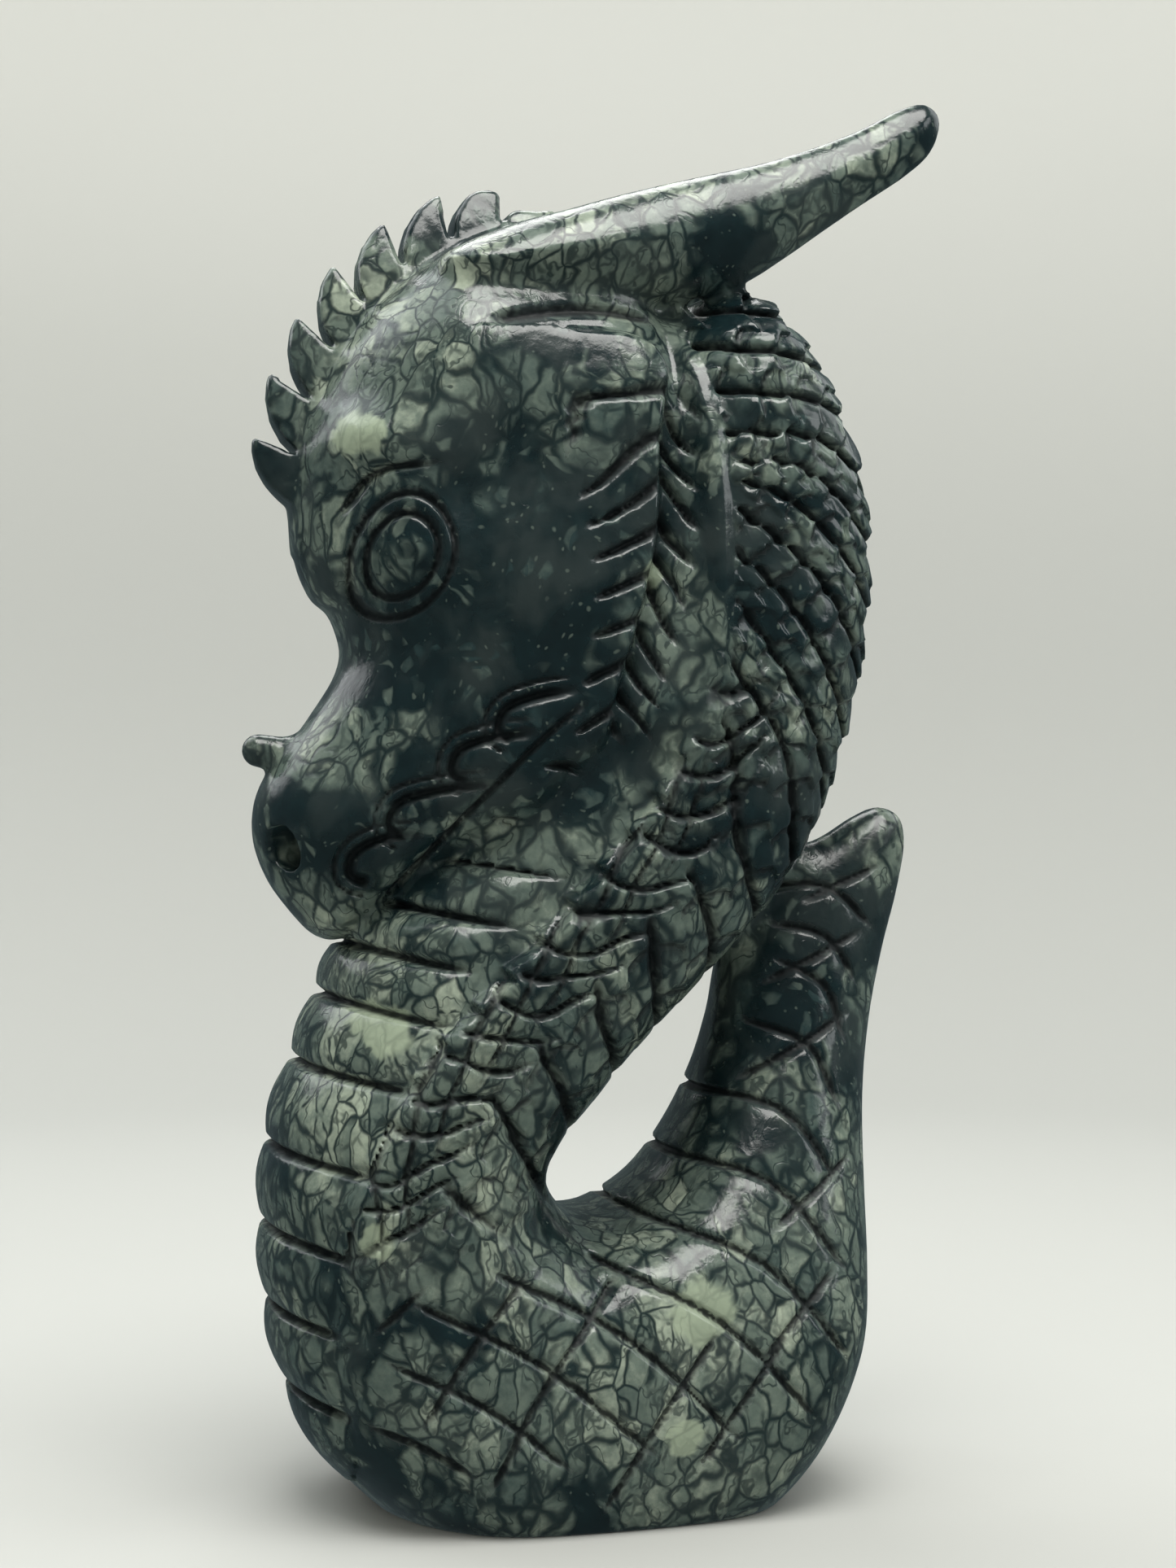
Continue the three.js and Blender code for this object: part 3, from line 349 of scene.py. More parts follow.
def hatch_strokes():
    strokes = []
    for hatch in HATCH_SETS:
        at = np.linspace(0, len(hatch["bows"]) - 1, hatch["count"])
        bows = np.interp(at, range(len(hatch["bows"])), hatch["bows"])
        ends = zip(curve_points(hatch["from"], at), curve_points(hatch["to"], at), bows)
        strokes += [stroke_between(a, b, bow) for a, b, bow in ends]
    return strokes


# The face. Humps and hollows are (place, radius, height).
EYE = (-31.2, 132.4)
EYE_NARROWNESS = 1.36  # its height over its width
EYE_LEAN = 0.22  # radians that its top tips back
EYE_BULGE = 1.5
EYELID_BULGE = 1.3
FACE_HUMPS = [
    ((-36.6, 148.6), 4.4, 3.4), ((-28, 146.5), 5.5, 2), ((-17, 146), 9, -1.8), ((-24, 141), 4.5, -0.9),
    ((-15, 127), 11, 1.2), ((-37, 119), 6, -1.4), ((-9, 116), 6, -1.2), ((-14, 98.8), 5, 2),
    ((-42, 98), 6, 1), ((-31, 109), 9, 0.8),
]
# Curled folds of the lip, from the tip of the upper arm round to the mouth.
LIP_CURLS = [
    [(-27, 94.6), (-33.4, 94.2), (-37.2, 92), (-37.4, 89), (-34.6, 88)],
    [(-17.5, 101.6), (-26, 100.8), (-31.8, 98.8), (-32.8, 95.8), (-30.4, 94.2)],
    [(-13, 108.4), (-19.5, 107.8), (-24.2, 106), (-25, 103), (-22.6, 101.6)],
    [(-7.5, 114.2), (-14, 113.4), (-18.4, 111.4), (-19.2, 108.6), (-17.2, 107.2)],
]
CURL_WIDTH = 2.5
CURL_ECHO = 1.9  # from each curl to the finer cut inside it
ECHO_WIDTH = 1.2
ECHO_SHARE = 0.6  # of the curl's depth
MOUTH_WIDTH = 1.7
MOUTH_SHARE = 0.75
# Creases of the jaw, and the fourth over the eyelid.
FACE_CUTS = [
    ((-19.7, 97), (-11, 93.2), 0.1), ((-14, 103.8), (-5.4, 102), 0.12), ((-25.4, 87.8), (-17.4, 85.2), -0.08),
    ((-39, 137.4), (-26.5, 144.6), 0.22), ((-12, 97.5), (-6, 92.5), 0.1),
]
# The hollow fold between the ear and the horn.
EAR_FOLD = ((-20, 164.2), (6, 166.2), 0.06)
EAR_FOLD_WIDTH = 3.2


def face(x, z):
    """How far the face stands out, and how cut it is."""
    carved = sum(height * hump(x, z, place, radius) for place, radius, height in FACE_HUMPS)
    ex, ez = x - EYE[0], z - EYE[1]
    across = (ex * math.cos(EYE_LEAN) - ez * math.sin(EYE_LEAN)) * EYE_NARROWNESS
    upright = ex * math.sin(EYE_LEAN) + ez * math.cos(EYE_LEAN)
    from_eye = 0.25 * waver(x, z, 5, 7) + np.hypot(across, upright)
    bulge = EYE_BULGE * (1 - smooth(0, EYE_HEIGHT / 2, from_eye))
    carved += bulge + EYELID_BULGE * (1 - smooth(0.42, 0.8, from_eye / EYELID_HEIGHT))
    rings = np.maximum(groove(from_eye - EYE_HEIGHT / 2), groove(from_eye - EYELID_HEIGHT / 2))
    mouth_line = Line(MOUTH_LINE)
    distance, _, along, _ = mouth_line.nearest(x, z)
    lips = MOUTH_SHARE * groove(distance, MOUTH_WIDTH)
    lips = lips * smooth(mouth_line.length, mouth_line.length * 0.85, along)
    for points in LIP_CURLS:
        curl = Line(points)
        distance, signed, along, _ = curl.nearest(x, z)
        fade = smooth(0, 0.35 * curl.length, along) * smooth(0, 1, curl.length - along)
        lips = np.maximum(lips, fade * groove(distance, CURL_WIDTH))
        lips = np.maximum(lips, ECHO_SHARE * fade * groove(signed - CURL_ECHO, ECHO_WIDTH))
    lips = np.maximum(lips, stroke_depth([stroke_between(*ends) for ends in FACE_CUTS], x, z))
    folds = stroke_depth([stroke_between(*EAR_FOLD)], x, z, EAR_FOLD_WIDTH)
    relief = carved - EYELID_CUT_DEPTH * rings - LIP_CUT_DEPTH * lips - EAR_FOLD_DEPTH * folds
    return relief, np.maximum.reduce([rings, lips, folds])


GOUGE_WIDTH = 3.6


def gouges(along, signed, pitch, slant, reach, width=GOUGE_WIDTH):
    """Cuts beside a line, slanted, from the line out to a reach and narrowing on the way."""
    left = np.clip(1 - np.abs(signed) / reach, 0, 1)
    run = along + slant * np.abs(signed)
    return smooth(0, 0.3, left) * groove(to_step(run, pitch), width * mix(0.44, 1, left))


FRILL_PITCH = 6.3  # between the strokes that run forwards from the frill's edge
FRILL_SLANTS = (-0.8, -0.24)  # below and above
FRILL_REACHES = (6, 16)
FLAME_PITCH = 0.8 * FRILL_PITCH  # between the gouges behind the frill
FLAME_SLANT = -1.2
FLAME_REACH = 6.5
FEATHER_PITCH = 13  # between the feathers of the fringe between chest and scales
FEATHER_SLANT = -3.6
FEATHER_WIDTH = 8
FEATHER_SHARE = 0.8  # of a full cut's depth
FRINGE_BAND = 8
FRINGE_HEIGHT = 1.2
FRINGE_TUFT = 1.6  # how far the fringe's front edge goes in and out
RAGGED = 1.3
FLAKE_PITCH = 5.6  # between the crescent flakes across the fringe
FLAKE_SAG = 0.08
FLAKE_STEP = 1.1
FLAKE_CUT_WIDTH = 2.4
RIDGE_HALF = 1.9  # half the width of the ridge in front of the upper neck's scales
RIDGE_HEIGHT = 1.6

# Where one kind of carving gives way to the next: none at the first level or place, all at the second.
CHEST_TOP = (112, 104)
UPPER_NECK = (90, 104)
ROWS_TO_EDGE = (88, 106)  # below this the scales' cuts stop short of the neck's outline
BASE_TOP = (46, 34)
BASE_FRONT = -26
BASE_CLIMB = 0.3  # of the base's top, from its front to its back
EAR_TOP = (177, 170)
EAR_FRONT = (-24, -6)
EAR_BACK = (13, 5)  # above the ear, where the horn grows out of the nape
ABOVE_EAR = (160, 166)
NAPE_TOP = (164, 156)
FLAME_TOP = (157, 150)
FEATHER_TOP = (108, 100)
FLAKE_TOP = (122, 110)
FRILL_START = (159, 157)

# Where the face widens, the crown narrows, the tail thins and the horns spread.
FACE_RUN = (-52, -6)
CROWN_RISE = (150, 184)
TAIL_RISE = (20, 96)
TAIL_RUN = (0, 24)
TAIL_TAPER = 0.75
HORN_RUN = (-20, 50)

# The spikes lean by a share of their height, fill a share of their pitch, and the last ones are low.
SPIKE_LEAN = 0.3
SPIKE_FILL = 0.88
SPIKE_CLIMB = 0.86  # share of the pitch over which a spike rises
LAST_SPIKES = (0.78, 0.95)
LAST_SPIKE_LOSS = 0.8


def columns(x, z):
    """Everything in the field that depends only on the side plane."""
    _, crest_signed, crest_along, _ = Line(CREST_LINE).nearest(x, z)
    _, fringe, fringe_along, _ = Line(FRINGE_LINE).nearest(x, z)
    _, cheek, _, _ = Line(CHEEK_LINE).nearest(x, z)
    edge_line = Line([FRILL_TOP] + FRILL_EDGE)
    _, edge, edge_along, _ = edge_line.nearest(x, z)
    _, ridge, _, _ = Line(RIDGE_LINE).nearest(x, z)
    back, _, back_along, _ = Line(BACK_LINE).nearest(x, z)
    neck = Line(NECK_OUTLINE, True).nearest(x, z)[3]

    tuft = FRINGE_TUFT * (share(fringe_along, FRILL_PITCH) - 0.5)
    chest = smooth(-0.8, 1, fringe - tuft) * between(CHEST_TOP, z)
    base = between(BASE_TOP, z - BASE_CLIMB * (x - BASE_FRONT))
    upper = between(UPPER_NECK, z)
    behind_ridge = smooth(RIDGE_HALF, RIDGE_HALF + 1, -ridge)
    behind_fringe = smooth(FRINGE_BAND, FRINGE_BAND + 3, -fringe)
    to_edge = mix(smooth(0, 5, -neck), 1, between(ROWS_TO_EDGE, z))
    scaled = (1 - base) * mix(behind_fringe, behind_ridge, upper) * to_edge

    ragged = RAGGED * waver(x, z, 5, 6)
    feather_run = fringe_along + 2 * ragged
    feathers = gouges(feather_run, fringe, FEATHER_PITCH, FEATHER_SLANT, FRINGE_BAND, FEATHER_WIDTH)
    feathers = FEATHER_SHARE * np.where(fringe < 0, feathers, 0) * between(FEATHER_TOP, z)
    flames = gouges(edge_along + ragged, edge, FLAME_PITCH, FLAME_SLANT, FLAME_REACH)
    flames = np.where(edge < 0, flames, 0) * between(FLAME_TOP, z)
    flames = flames * smooth(0, 5, edge_line.length - edge_along)
    flake_run = fringe_along + FLAKE_SAG * fringe**2 + 1.6 * ragged
    flaked = (1 - base) * smooth(0, 1.5, -fringe) * smooth(1.5 * FRINGE_BAND, FRINGE_BAND, -fringe)
    flaked = flaked * between(FLAKE_TOP, z)
    flakes = flaked * groove(to_step(flake_run, FLAKE_PITCH), FLAKE_CUT_WIDTH)
    flake_relief = FLAKE_STEP * flaked * (share(flake_run, FLAKE_PITCH) - 0.5)
    tufts = (1 - base) * np.maximum.reduce([feathers, flames, flakes])
    hatch = (1 - chest) * stroke_depth(hatch_strokes(), x, z)
    band = RIDGE_HEIGHT * np.exp(-((ridge / RIDGE_HALF) ** 2)) * upper
    fringe_crown = np.exp(-(((fringe + 0.4 * FRINGE_BAND) / (0.45 * FRINGE_BAND)) ** 2))
    band += FRINGE_HEIGHT * fringe_crown * (1 - base) * (1 - upper)
    plate_relief, plate_cuts = plates(x, z, neck)
    scale_relief, scale_cuts = scales(x, z, back, back_along)
    rough_relief = scaled * scale_relief - FRILL_CUT_DEPTH * tufts + band - flake_relief
    rough_cuts = np.maximum(scaled * scale_cuts, tufts)
    neck_carving = chest * plate_relief - HATCH_CUT_DEPTH * hatch + rough_relief

    rise = between(TAIL_RISE, z) * between(TAIL_RUN, x)
    horn_run = between(HORN_RUN, x)
    ear_share = 1 - between(ABOVE_EAR, z) * (1 - between(EAR_BACK, x))
    behind_cheek = smooth(-1, 1, -cheek) * between(EAR_TOP, z) * between(EAR_FRONT, x) * ear_share
    frill_reach = mix(*FRILL_REACHES, smooth(115, 155, z))
    frill_slant = mix(*FRILL_SLANTS, smooth(140, 157, z + 0.2 * x))
    frill = np.where(edge > 0, gouges(edge_along, edge, FRILL_PITCH, frill_slant, frill_reach), 0)
    frill = frill * between(FRILL_START, z)
    face_relief, face_cuts = face(x, z)
    face_thickness = mix(SNOUT_THICKNESS, CHEEK_THICKNESS, between(FACE_RUN, x))
    nape = behind_cheek * between(NAPE_TOP, z)
    head_carving = face_relief - FRILL_CUT_DEPTH * frill - FRILL_STEP * behind_cheek + nape * rough_relief

    pitch = Line(CREST_LINE).length / SPIKE_COUNT
    height = -crest_signed
    lean = crest_along - SPIKE_LEAN * height
    spike_share = share(lean, pitch)
    run = lean / (pitch * SPIKE_COUNT)
    shrink = (1 - LAST_SPIKE_LOSS * between(LAST_SPIKES, run)) * smooth(-0.2, 0.2, lean)
    climb = np.sqrt(np.sin(np.minimum(spike_share / SPIKE_CLIMB, 1) * np.pi / 2))
    return {
        "x": x,
        "z": z,
        "neck": neck,
        "neck_half": NECK_THICKNESS / 2 - CHEST_RECESS * chest,
        "neck_carving": neck_carving,
        "neck_cuts": np.maximum.reduce([chest * plate_cuts, rough_cuts, hatch]),
        "tail": Line(TAIL_OUTLINE, True).nearest(x, z)[3],
        "tail_half": mix(TAIL_ROOT_THICKNESS, TAIL_TIP_THICKNESS, rise**TAIL_TAPER) / 2,
        "tail_carving": -HATCH_CUT_DEPTH * hatch,
        "head": Line(HEAD_OUTLINE, True).nearest(x, z)[3],
        "head_half": mix(face_thickness, CROWN_THICKNESS, between(CROWN_RISE, z)) / 2,
        "head_carving": head_carving,
        "head_cuts": np.maximum.reduce([face_cuts, frill, nape * rough_cuts]),
        "horn": Line(HORN_OUTLINE, True).nearest(x, z)[3],
        "horn_half": mix(HORN_ROOT_THICKNESS, HORN_TIP_THICKNESS, horn_run) / 2,
        "horn_y": mix(HORN_ROOT_SPACING, HORN_TIP_SPACING, horn_run) / 2,
        "crest": height,
        "spike": cut(height - SPIKE_HEIGHT * shrink * climb, (spike_share - SPIKE_FILL) * pitch, SPIKE_EDGE),
    }


NECK_RIM = 19
TAIL_RIM = 15
HEAD_RIM = 17
HORN_RIM = 9
RIM_FULLNESS = 2.2
HORN_FULLNESS = 1.8
SEAM_SOFTNESS = 3.5  # how broadly one mass runs into the next
HEAD_SEAM = 2
CREST_SEAM = 1.5
CREST_EDGE = 1.2  # how rounded the crest is along its sides
SPIKE_EDGE = 0.6
NOSTRIL_EDGE = 0.6
CREST_ROOT = 6  # how far the crest reaches into the head
SPIKE_THINNING = 0.6  # share of its thickness that the crest loses up to a spike's tip
NOSE_KNOB = ((-41, 105.4), (-48, 106.2))
NOSE_KNOB_RADIUS = 2.3
NOSTRIL = (-47.6, 9, 92.7)
NOSTRIL_AXIS = (0.95, -0.31)


def field(c, y):
    """Distance to the surface over all columns, y from the middle plane, and how cut the stone is there."""
    head = mass_distance(c["head"], y, c["head_half"], HEAD_RIM, RIM_FULLNESS) - c["head_carving"]
    neck = mass_distance(c["neck"], y, c["neck_half"], NECK_RIM, RIM_FULLNESS) - c["neck_carving"]
    tail = mass_distance(c["tail"], y, c["tail_half"], TAIL_RIM, RIM_FULLNESS) - c["tail_carving"]
    cuts = np.where(head < np.minimum(neck, tail), c["head_cuts"], c["neck_cuts"])
    d = blend(blend(neck, tail, SEAM_SOFTNESS), head, HEAD_SEAM)
    horn = mass_distance(c["horn"], y - c["horn_y"], c["horn_half"], HORN_RIM, HORN_FULLNESS)
    cuts = np.where(horn < d, 0, cuts)
    d = blend(d, horn, SEAM_SOFTNESS)
    crest_half = CREST_THICKNESS / 2 * (1 - SPIKE_THINNING * np.clip(c["crest"] / SPIKE_HEIGHT, 0, 1))
    fin = cut(blend(c["crest"], c["spike"], SPIKE_EDGE), y - crest_half, CREST_EDGE)
    d = blend(d, cut(fin, -c["crest"] - CREST_ROOT, 1), CREST_SEAM)
    (ax, az), (bx, bz) = NOSE_KNOB
    run = (c["x"] - ax) * (bx - ax) + (c["z"] - az) * (bz - az)
    t = np.clip(run / ((bx - ax) ** 2 + (bz - az) ** 2), 0, 1)
    knob = np.sqrt((c["x"] - mix(ax, bx, t)) ** 2 + (c["z"] - mix(az, bz, t)) ** 2 + y * y)
    d = blend(d, knob - NOSE_KNOB_RADIUS, HEAD_SEAM)
    ox, oy, oz = c["x"] - NOSTRIL[0], y - NOSTRIL[1], c["z"] - NOSTRIL[2]
    depth = (ox * NOSTRIL_AXIS[0] + oy * NOSTRIL_AXIS[1]) / math.hypot(*NOSTRIL_AXIS)
    bore = np.sqrt(np.maximum(ox * ox + oy * oy + oz * oz - depth * depth, 0)) - NOSTRIL_DIAMETER / 2
    d = cut(d, -np.maximum(bore, depth - NOSTRIL_DEPTH), NOSTRIL_EDGE)
    return np.maximum(d, -c["z"]), cuts


def carve():
    """The carving's points in millimetres, its faces, and the grid of how cut the stone is."""
    xs = np.arange(*GRID_X, CELL)
    zs = np.arange(*GRID_Z, CELL)
    ys = np.arange(0, GRID_HALF_Y, CELL)
    c = columns(*np.meshgrid(xs, zs, indexing="ij"))
    layers = [field(c, y) for y in ys]
    flank = np.stack([d for d, _ in layers], axis=1)
    cuts = np.stack([k for _, k in layers], axis=1)
    block = np.concatenate([flank[:, :0:-1], flank], axis=1).astype(np.float32)
    grid = openvdb.FloatGrid(10.0)
    grid.copyFromArray(block)
    points, triangles, quads = grid.convertToPolygons(0.0, 0.0)
    faces = np.concatenate([triangles, quads[:, [0, 1, 2]], quads[:, [0, 2, 3]]])
    points = points * CELL + (xs[0], -ys[-1], zs[0])
    return points, faces[:, ::-1], (xs, ys, zs, cuts)


def main_piece():
    """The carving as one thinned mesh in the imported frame, and that frame's origin in the outlines' own."""
    points, faces, (xs, ys, zs, cuts) = carve()
    mesh = bpy.data.meshes.new("carving_dense")
    mesh.vertices.add(len(points))
    mesh.vertices.foreach_set("co", points.ravel())
    mesh.loops.add(faces.size)
    mesh.loops.foreach_set("vertex_index", faces.ravel())
    mesh.polygons.add(len(faces))
    mesh.polygons.foreach_set("loop_start", np.arange(0, faces.size, 3, dtype=np.int32))
    mesh.update(calc_edges=True)
    dense = bpy.data.objects.new("carving_dense", mesh)
    bpy.context.scene.collection.objects.link(dense)
    thin = dense.modifiers.new("thin", "DECIMATE")
    thin.ratio = TRIANGLES / len(faces)
    evaluated = dense.evaluated_get(bpy.context.evaluated_depsgraph_get())
    mesh = bpy.data.meshes.new_from_object(evaluated)
    bpy.data.objects.remove(dense)
    mesh.name = "jasper_dragon"
    co = np.empty(len(mesh.vertices) * 3, np.float32)
    mesh.vertices.foreach_get("co", co)
    co = co.reshape(-1, 3)
    x, across, z = co[:, 0], np.abs(co[:, 1]), co[:, 2]
    nearest = [
        np.clip(np.round((v - axis[0]) / CELL).astype(int), 0, len(axis) - 1)
        for v, axis in ((x, xs), (across, ys), (z, zs))
    ]
    # The cut attribute also drives the painted shade in the grooves, and the pale attribute holds the stone's
    # paleness with two spots of painted shade.
    looks = (("cut", cuts[tuple(nearest)]), ("pale", paleness_and_shade(x, z)), ("celadon", celadon(x, z)))
    for name, values in looks:
        attribute = mesh.attributes.new(name, "FLOAT", "POINT")
        attribute.data.foreach_set("value", values.astype(np.float32))
    low, high = co.min(0), co.max(0)
    centre = np.array([(low[0] + high[0]) / 2, 0, low[2]], np.float32)
    mesh.vertices.foreach_set("co", ((co - centre) * MM).ravel())
    mesh.polygons.foreach_set("use_smooth", np.ones(len(mesh.polygons), bool))
    mesh.update()
    piece = bpy.data.objects.new("jasper_dragon", mesh)
    bpy.context.scene.collection.objects.link(piece)
    return piece, centre


class Nodes:
    """Short forms for building a node tree."""

    def __init__(self, tree):
        self.tree = tree

    def node(self, kind, inputs=(), **settings):
        made = self.tree.nodes.new(kind)
        for name, value in settings.items():
            setattr(made, name, value)
        for name, value in dict(inputs).items():
            if isinstance(value, bpy.types.NodeSocket):
                self.tree.links.new(value, made.inputs[name])
            else:
                made.inputs[name].default_value = value
        return made

    def math(self, operation, a, b=0.0, c=0.0):
        return self.node("ShaderNodeMath", {0: a, 1: b, 2: c}, operation=operation).outputs[0]

    def between(self, value, low, high, to_low=0.0, to_high=1.0):
        inputs = {"Value": value, "From Min": low, "From Max": high, "To Min": to_low, "To Max": to_high}
        return self.node("ShaderNodeMapRange", inputs, interpolation_type="SMOOTHSTEP").outputs[0]

    def mix(self, factor, a, b):
        return self.node("ShaderNodeMix", {0: factor, 6: a, 7: b}, data_type="RGBA").outputs[2]

    def ramp(self, factor, *stops):
        made = self.node("ShaderNodeValToRGB", {"Fac": factor})
        elements = made.color_ramp.elements
        while len(elements) < len(stops):
            elements.new(1)
        for element, (place, colour) in zip(elements, stops):
            element.position = place
            element.color = (*colour, 1)
        return made.outputs["Color"]

    def noise(self, vector, size, detail=3, roughness=0.5, output="Fac"):
        inputs = {"Vector": vector, "Scale": 1 / size, "Detail": detail, "Roughness": roughness}
        return self.node("ShaderNodeTexNoise", inputs).outputs[output]

    def cells(self, vector, size, feature="F1"):
        inputs = {"Vector": vector, "Scale": 1 / size}
        return self.node("ShaderNodeTexVoronoi", inputs, feature=feature).outputs

    def moved(self, vector, source, size, amount):
        """A place moved by up to half this amount each way, by a noise of this size at the source."""
        noise = self.noise(source, size, 2, 0.5, "Color")
        offset = self.node("ShaderNodeVectorMath", {0: noise, 1: (0.5, 0.5, 0.5)}, operation="SUBTRACT")
        inputs = {0: offset.outputs[0], 1: (amount, amount, amount), 2: vector}
        return self.node("ShaderNodeVectorMath", inputs, operation="MULTIPLY_ADD").outputs[0]

    def attribute(self, name):
        return self.node("ShaderNodeAttribute", attribute_name=name).outputs["Fac"]

    def random(self, cells, channel=0):
        """A number of its own for each cell, three to choose from."""
        return self.node("ShaderNodeSeparateColor", {0: cells["Color"]}).outputs[channel]


# Stone colours, linear, and the painted shade of the cuts.
DARK = (0.0080, 0.0225, 0.0255)
DUSK = (0.0230, 0.0330, 0.0335)
VEIN = (0.0025, 0.0055, 0.0070)
GREEN_DEEP = (0.022, 0.044, 0.046)
GREEN = (0.128, 0.162, 0.136)
GREEN_PALE = (0.54, 0.60, 0.47)
CELADON = (0.34, 0.40, 0.29)
# Painted shade: the near black laid into the carved grooves.
CUT_SHADE_COLOUR = (0.002, 0.004, 0.005)

# The stone's make-up, in millimetres. A noise that moves the stone has a size, and how far it moves it.
FOLD = (11, 9)
RIPPLE = (3, 1.3)
THREAD_BEND = (4, 5)
GRAIN_TURN = (0.2, 0.3, 0)
GRAIN_STRETCH = (1, 1, 0.58)  # clasts are longer upright than across
AREA_SIZE = 13  # of the veined and the plain areas
CLAST_SIZE = 3.5
SMALL_CLAST_SIZE = 2.0
LOOSE_CLAST_SIZE = 3.1
SPECK_SIZE = 1.0

# Noise levels between which one kind of stone gives way to the next.
VEINED_FROM = (0.47, 0.56)
DUSKY_FROM = (0.42, 0.66)
CELADON_FROM = (0.40, 0.62)
WEB_THICKNESS = (0.21, 0.07)  # where the stone is plain, and where it is palest

# Roughness of the polish, what its two unevennesses add, and what a sawn cut adds.
POLISH = 0.10
POLISH_CLOUD = 0.14
POLISH_GRAIN = 0.06
CUT_ROUGHNESS = 0.42
REFRACTION = 1.5
BUMP_HEIGHT = 0.00028  # in metres
BUMP_STRENGTH = 0.45


def jasper():
    """Polished green jasper: deep to pale green clasts in a web of dark veins, between plain dark areas."""
    material = bpy.data.materials.new("jasper")
    material.use_nodes = True
    tree = material.node_tree
    shader = tree.nodes["Principled BSDF"]
    n = Nodes(tree)
    place = n.node("ShaderNodeTexCoord").outputs["Object"]
    millimetres = n.node("ShaderNodeMapping", {"Vector": place, "Scale": (1000, 1000, 1000)}).outputs[0]
    warped = n.moved(millimetres, millimetres, *FOLD)
    warped = n.moved(warped, millimetres, *RIPPLE)
    turned = {"Vector": warped, "Rotation": GRAIN_TURN, "Scale": GRAIN_STRETCH}
    grain = n.node("ShaderNodeMapping", turned).outputs[0]
    carved = n.attribute("cut")

    # Where the stone is veined (1) and where it is plain and dark (0). The pale attribute also brings painted
    # shade, which turns the stone plain and dark in the fold under the horn and the crease under the upper
    # lip.
    area = n.math("ADD", n.noise(warped, AREA_SIZE, 2, 0.5), n.math("MULTIPLY", n.attribute("pale"), 0.27))
    clasts = n.cells(grain, CLAST_SIZE)
    veined = n.between(n.math("ADD", area, n.math("MULTIPLY", n.random(clasts, 2), 0.16)), *VEINED_FROM)

    # The web: threads, and borders of large and small clasts, soft, thicker where the stone darkens.
    border = n.cells(grain, CLAST_SIZE, "DISTANCE_TO_EDGE")["Distance"]
    small_border = n.cells(grain, SMALL_CLAST_SIZE, "DISTANCE_TO_EDGE")["Distance"]
    paleness_here = n.math("ADD", area, n.math("MULTIPLY", n.noise(millimetres, 4, 2), 0.4))
    web = n.math("DIVIDE", border, n.between(paleness_here, 0.5, 0.95, *WEB_THICKNESS))
    web = n.between(web, 0.15, 1.5, 1, 0)
    fine = n.between(small_border, 0.02, 0.17, 1, 0)
    fine = n.math("MULTIPLY", fine, n.between(n.noise(millimetres, 6, 3), 0.38, 0.66, 0.05, 0.8))
    thread_noise = n.noise(n.moved(grain, millimetres, *THREAD_BEND), 5, 2, 0.45)
    thread = n.between(n.math("ABSOLUTE", n.math("SUBTRACT", thread_noise, 0.5)), 0.004, 0.028, 1, 0)
    veins = n.math("MAXIMUM", web, n.math("MAXIMUM", fine, n.math("MULTIPLY", thread, 0.8)))

    # Each clast has its own depth of green, clouded inside, and palest where the stone is palest.
    cloud = n.noise(millimetres, 1.9, 4, 0.6)
    depth = n.math("MULTIPLY_ADD", n.random(clasts), 0.30, n.math("MULTIPLY", cloud, 0.46))
    depth = n.math("ADD", depth, n.math("MULTIPLY", n.math("SUBTRACT", area, 0.5), 0.5))
    green = n.ramp(depth, (0.12, GREEN_DEEP), (0.5, GREEN), (0.95, GREEN_PALE))

    # The plain stone, mottled, dusky in places, with small specks.
    dark = n.mix(n.noise(millimetres, 2.6, 5, 0.65), (*VEIN, 1), (*DARK, 1))
    dark = n.mix(n.between(n.noise(warped, 12, 3, 0.55), *DUSKY_FROM), dark, (*DUSK, 1))
    specks = n.cells(warped, SPECK_SIZE)
    speck = n.between(specks["Distance"], 0.14, 0.34, 1, 0)
    speck = n.math("MULTIPLY", speck, n.between(n.random(specks), 0.78, 0.95))
    dark = n.mix(n.math("MULTIPLY", speck, 0.5), dark, (*GREEN, 1))

    # Loose small clasts in the plain stone.
    loose_border = n.cells(warped, LOOSE_CLAST_SIZE, "DISTANCE_TO_EDGE")["Distance"]
    loose_tone = n.random(n.cells(warped, LOOSE_CLAST_SIZE), 1)
    loose = n.math("MULTIPLY", n.between(loose_border, 0.12, 0.26), n.between(loose_tone, 0.54, 0.64))
    loose = n.math("MULTIPLY", loose, n.between(n.noise(millimetres, 9, 2), 0.46, 0.58))

    # Celadon patches, smooth and with fewer veins.
    ragged = n.math("MULTIPLY", n.math("SUBTRACT", n.noise(warped, 4, 2), 0.5), 0.9)
    patch = n.between(n.math("ADD", n.attribute("celadon"), ragged), *CELADON_FROM)
    green = n.mix(n.math("MULTIPLY", patch, 0.7), green, (*CELADON, 1))
    veins = n.math("MULTIPLY", veins, n.math("MULTIPLY_ADD", patch, -0.75, 1.0))
    veined = n.math("MAXIMUM", veined, patch)

    colour = n.mix(n.math("MULTIPLY", loose, 0.75), dark, green)
    unveined = n.math("SUBTRACT", 1.0, n.math("MULTIPLY", veins, 0.93))
    colour = n.mix(n.math("MULTIPLY", veined, unveined), colour, green)
    # Painted shade: the deeper part of every cut is darkened towards near black.
    colour = n.mix(n.math("MULTIPLY", n.between(carved, 0.2, 0.85), 0.85), colour, (*CUT_SHADE_COLOUR, 1))
    tree.links.new(colour, shader.inputs["Base Color"])

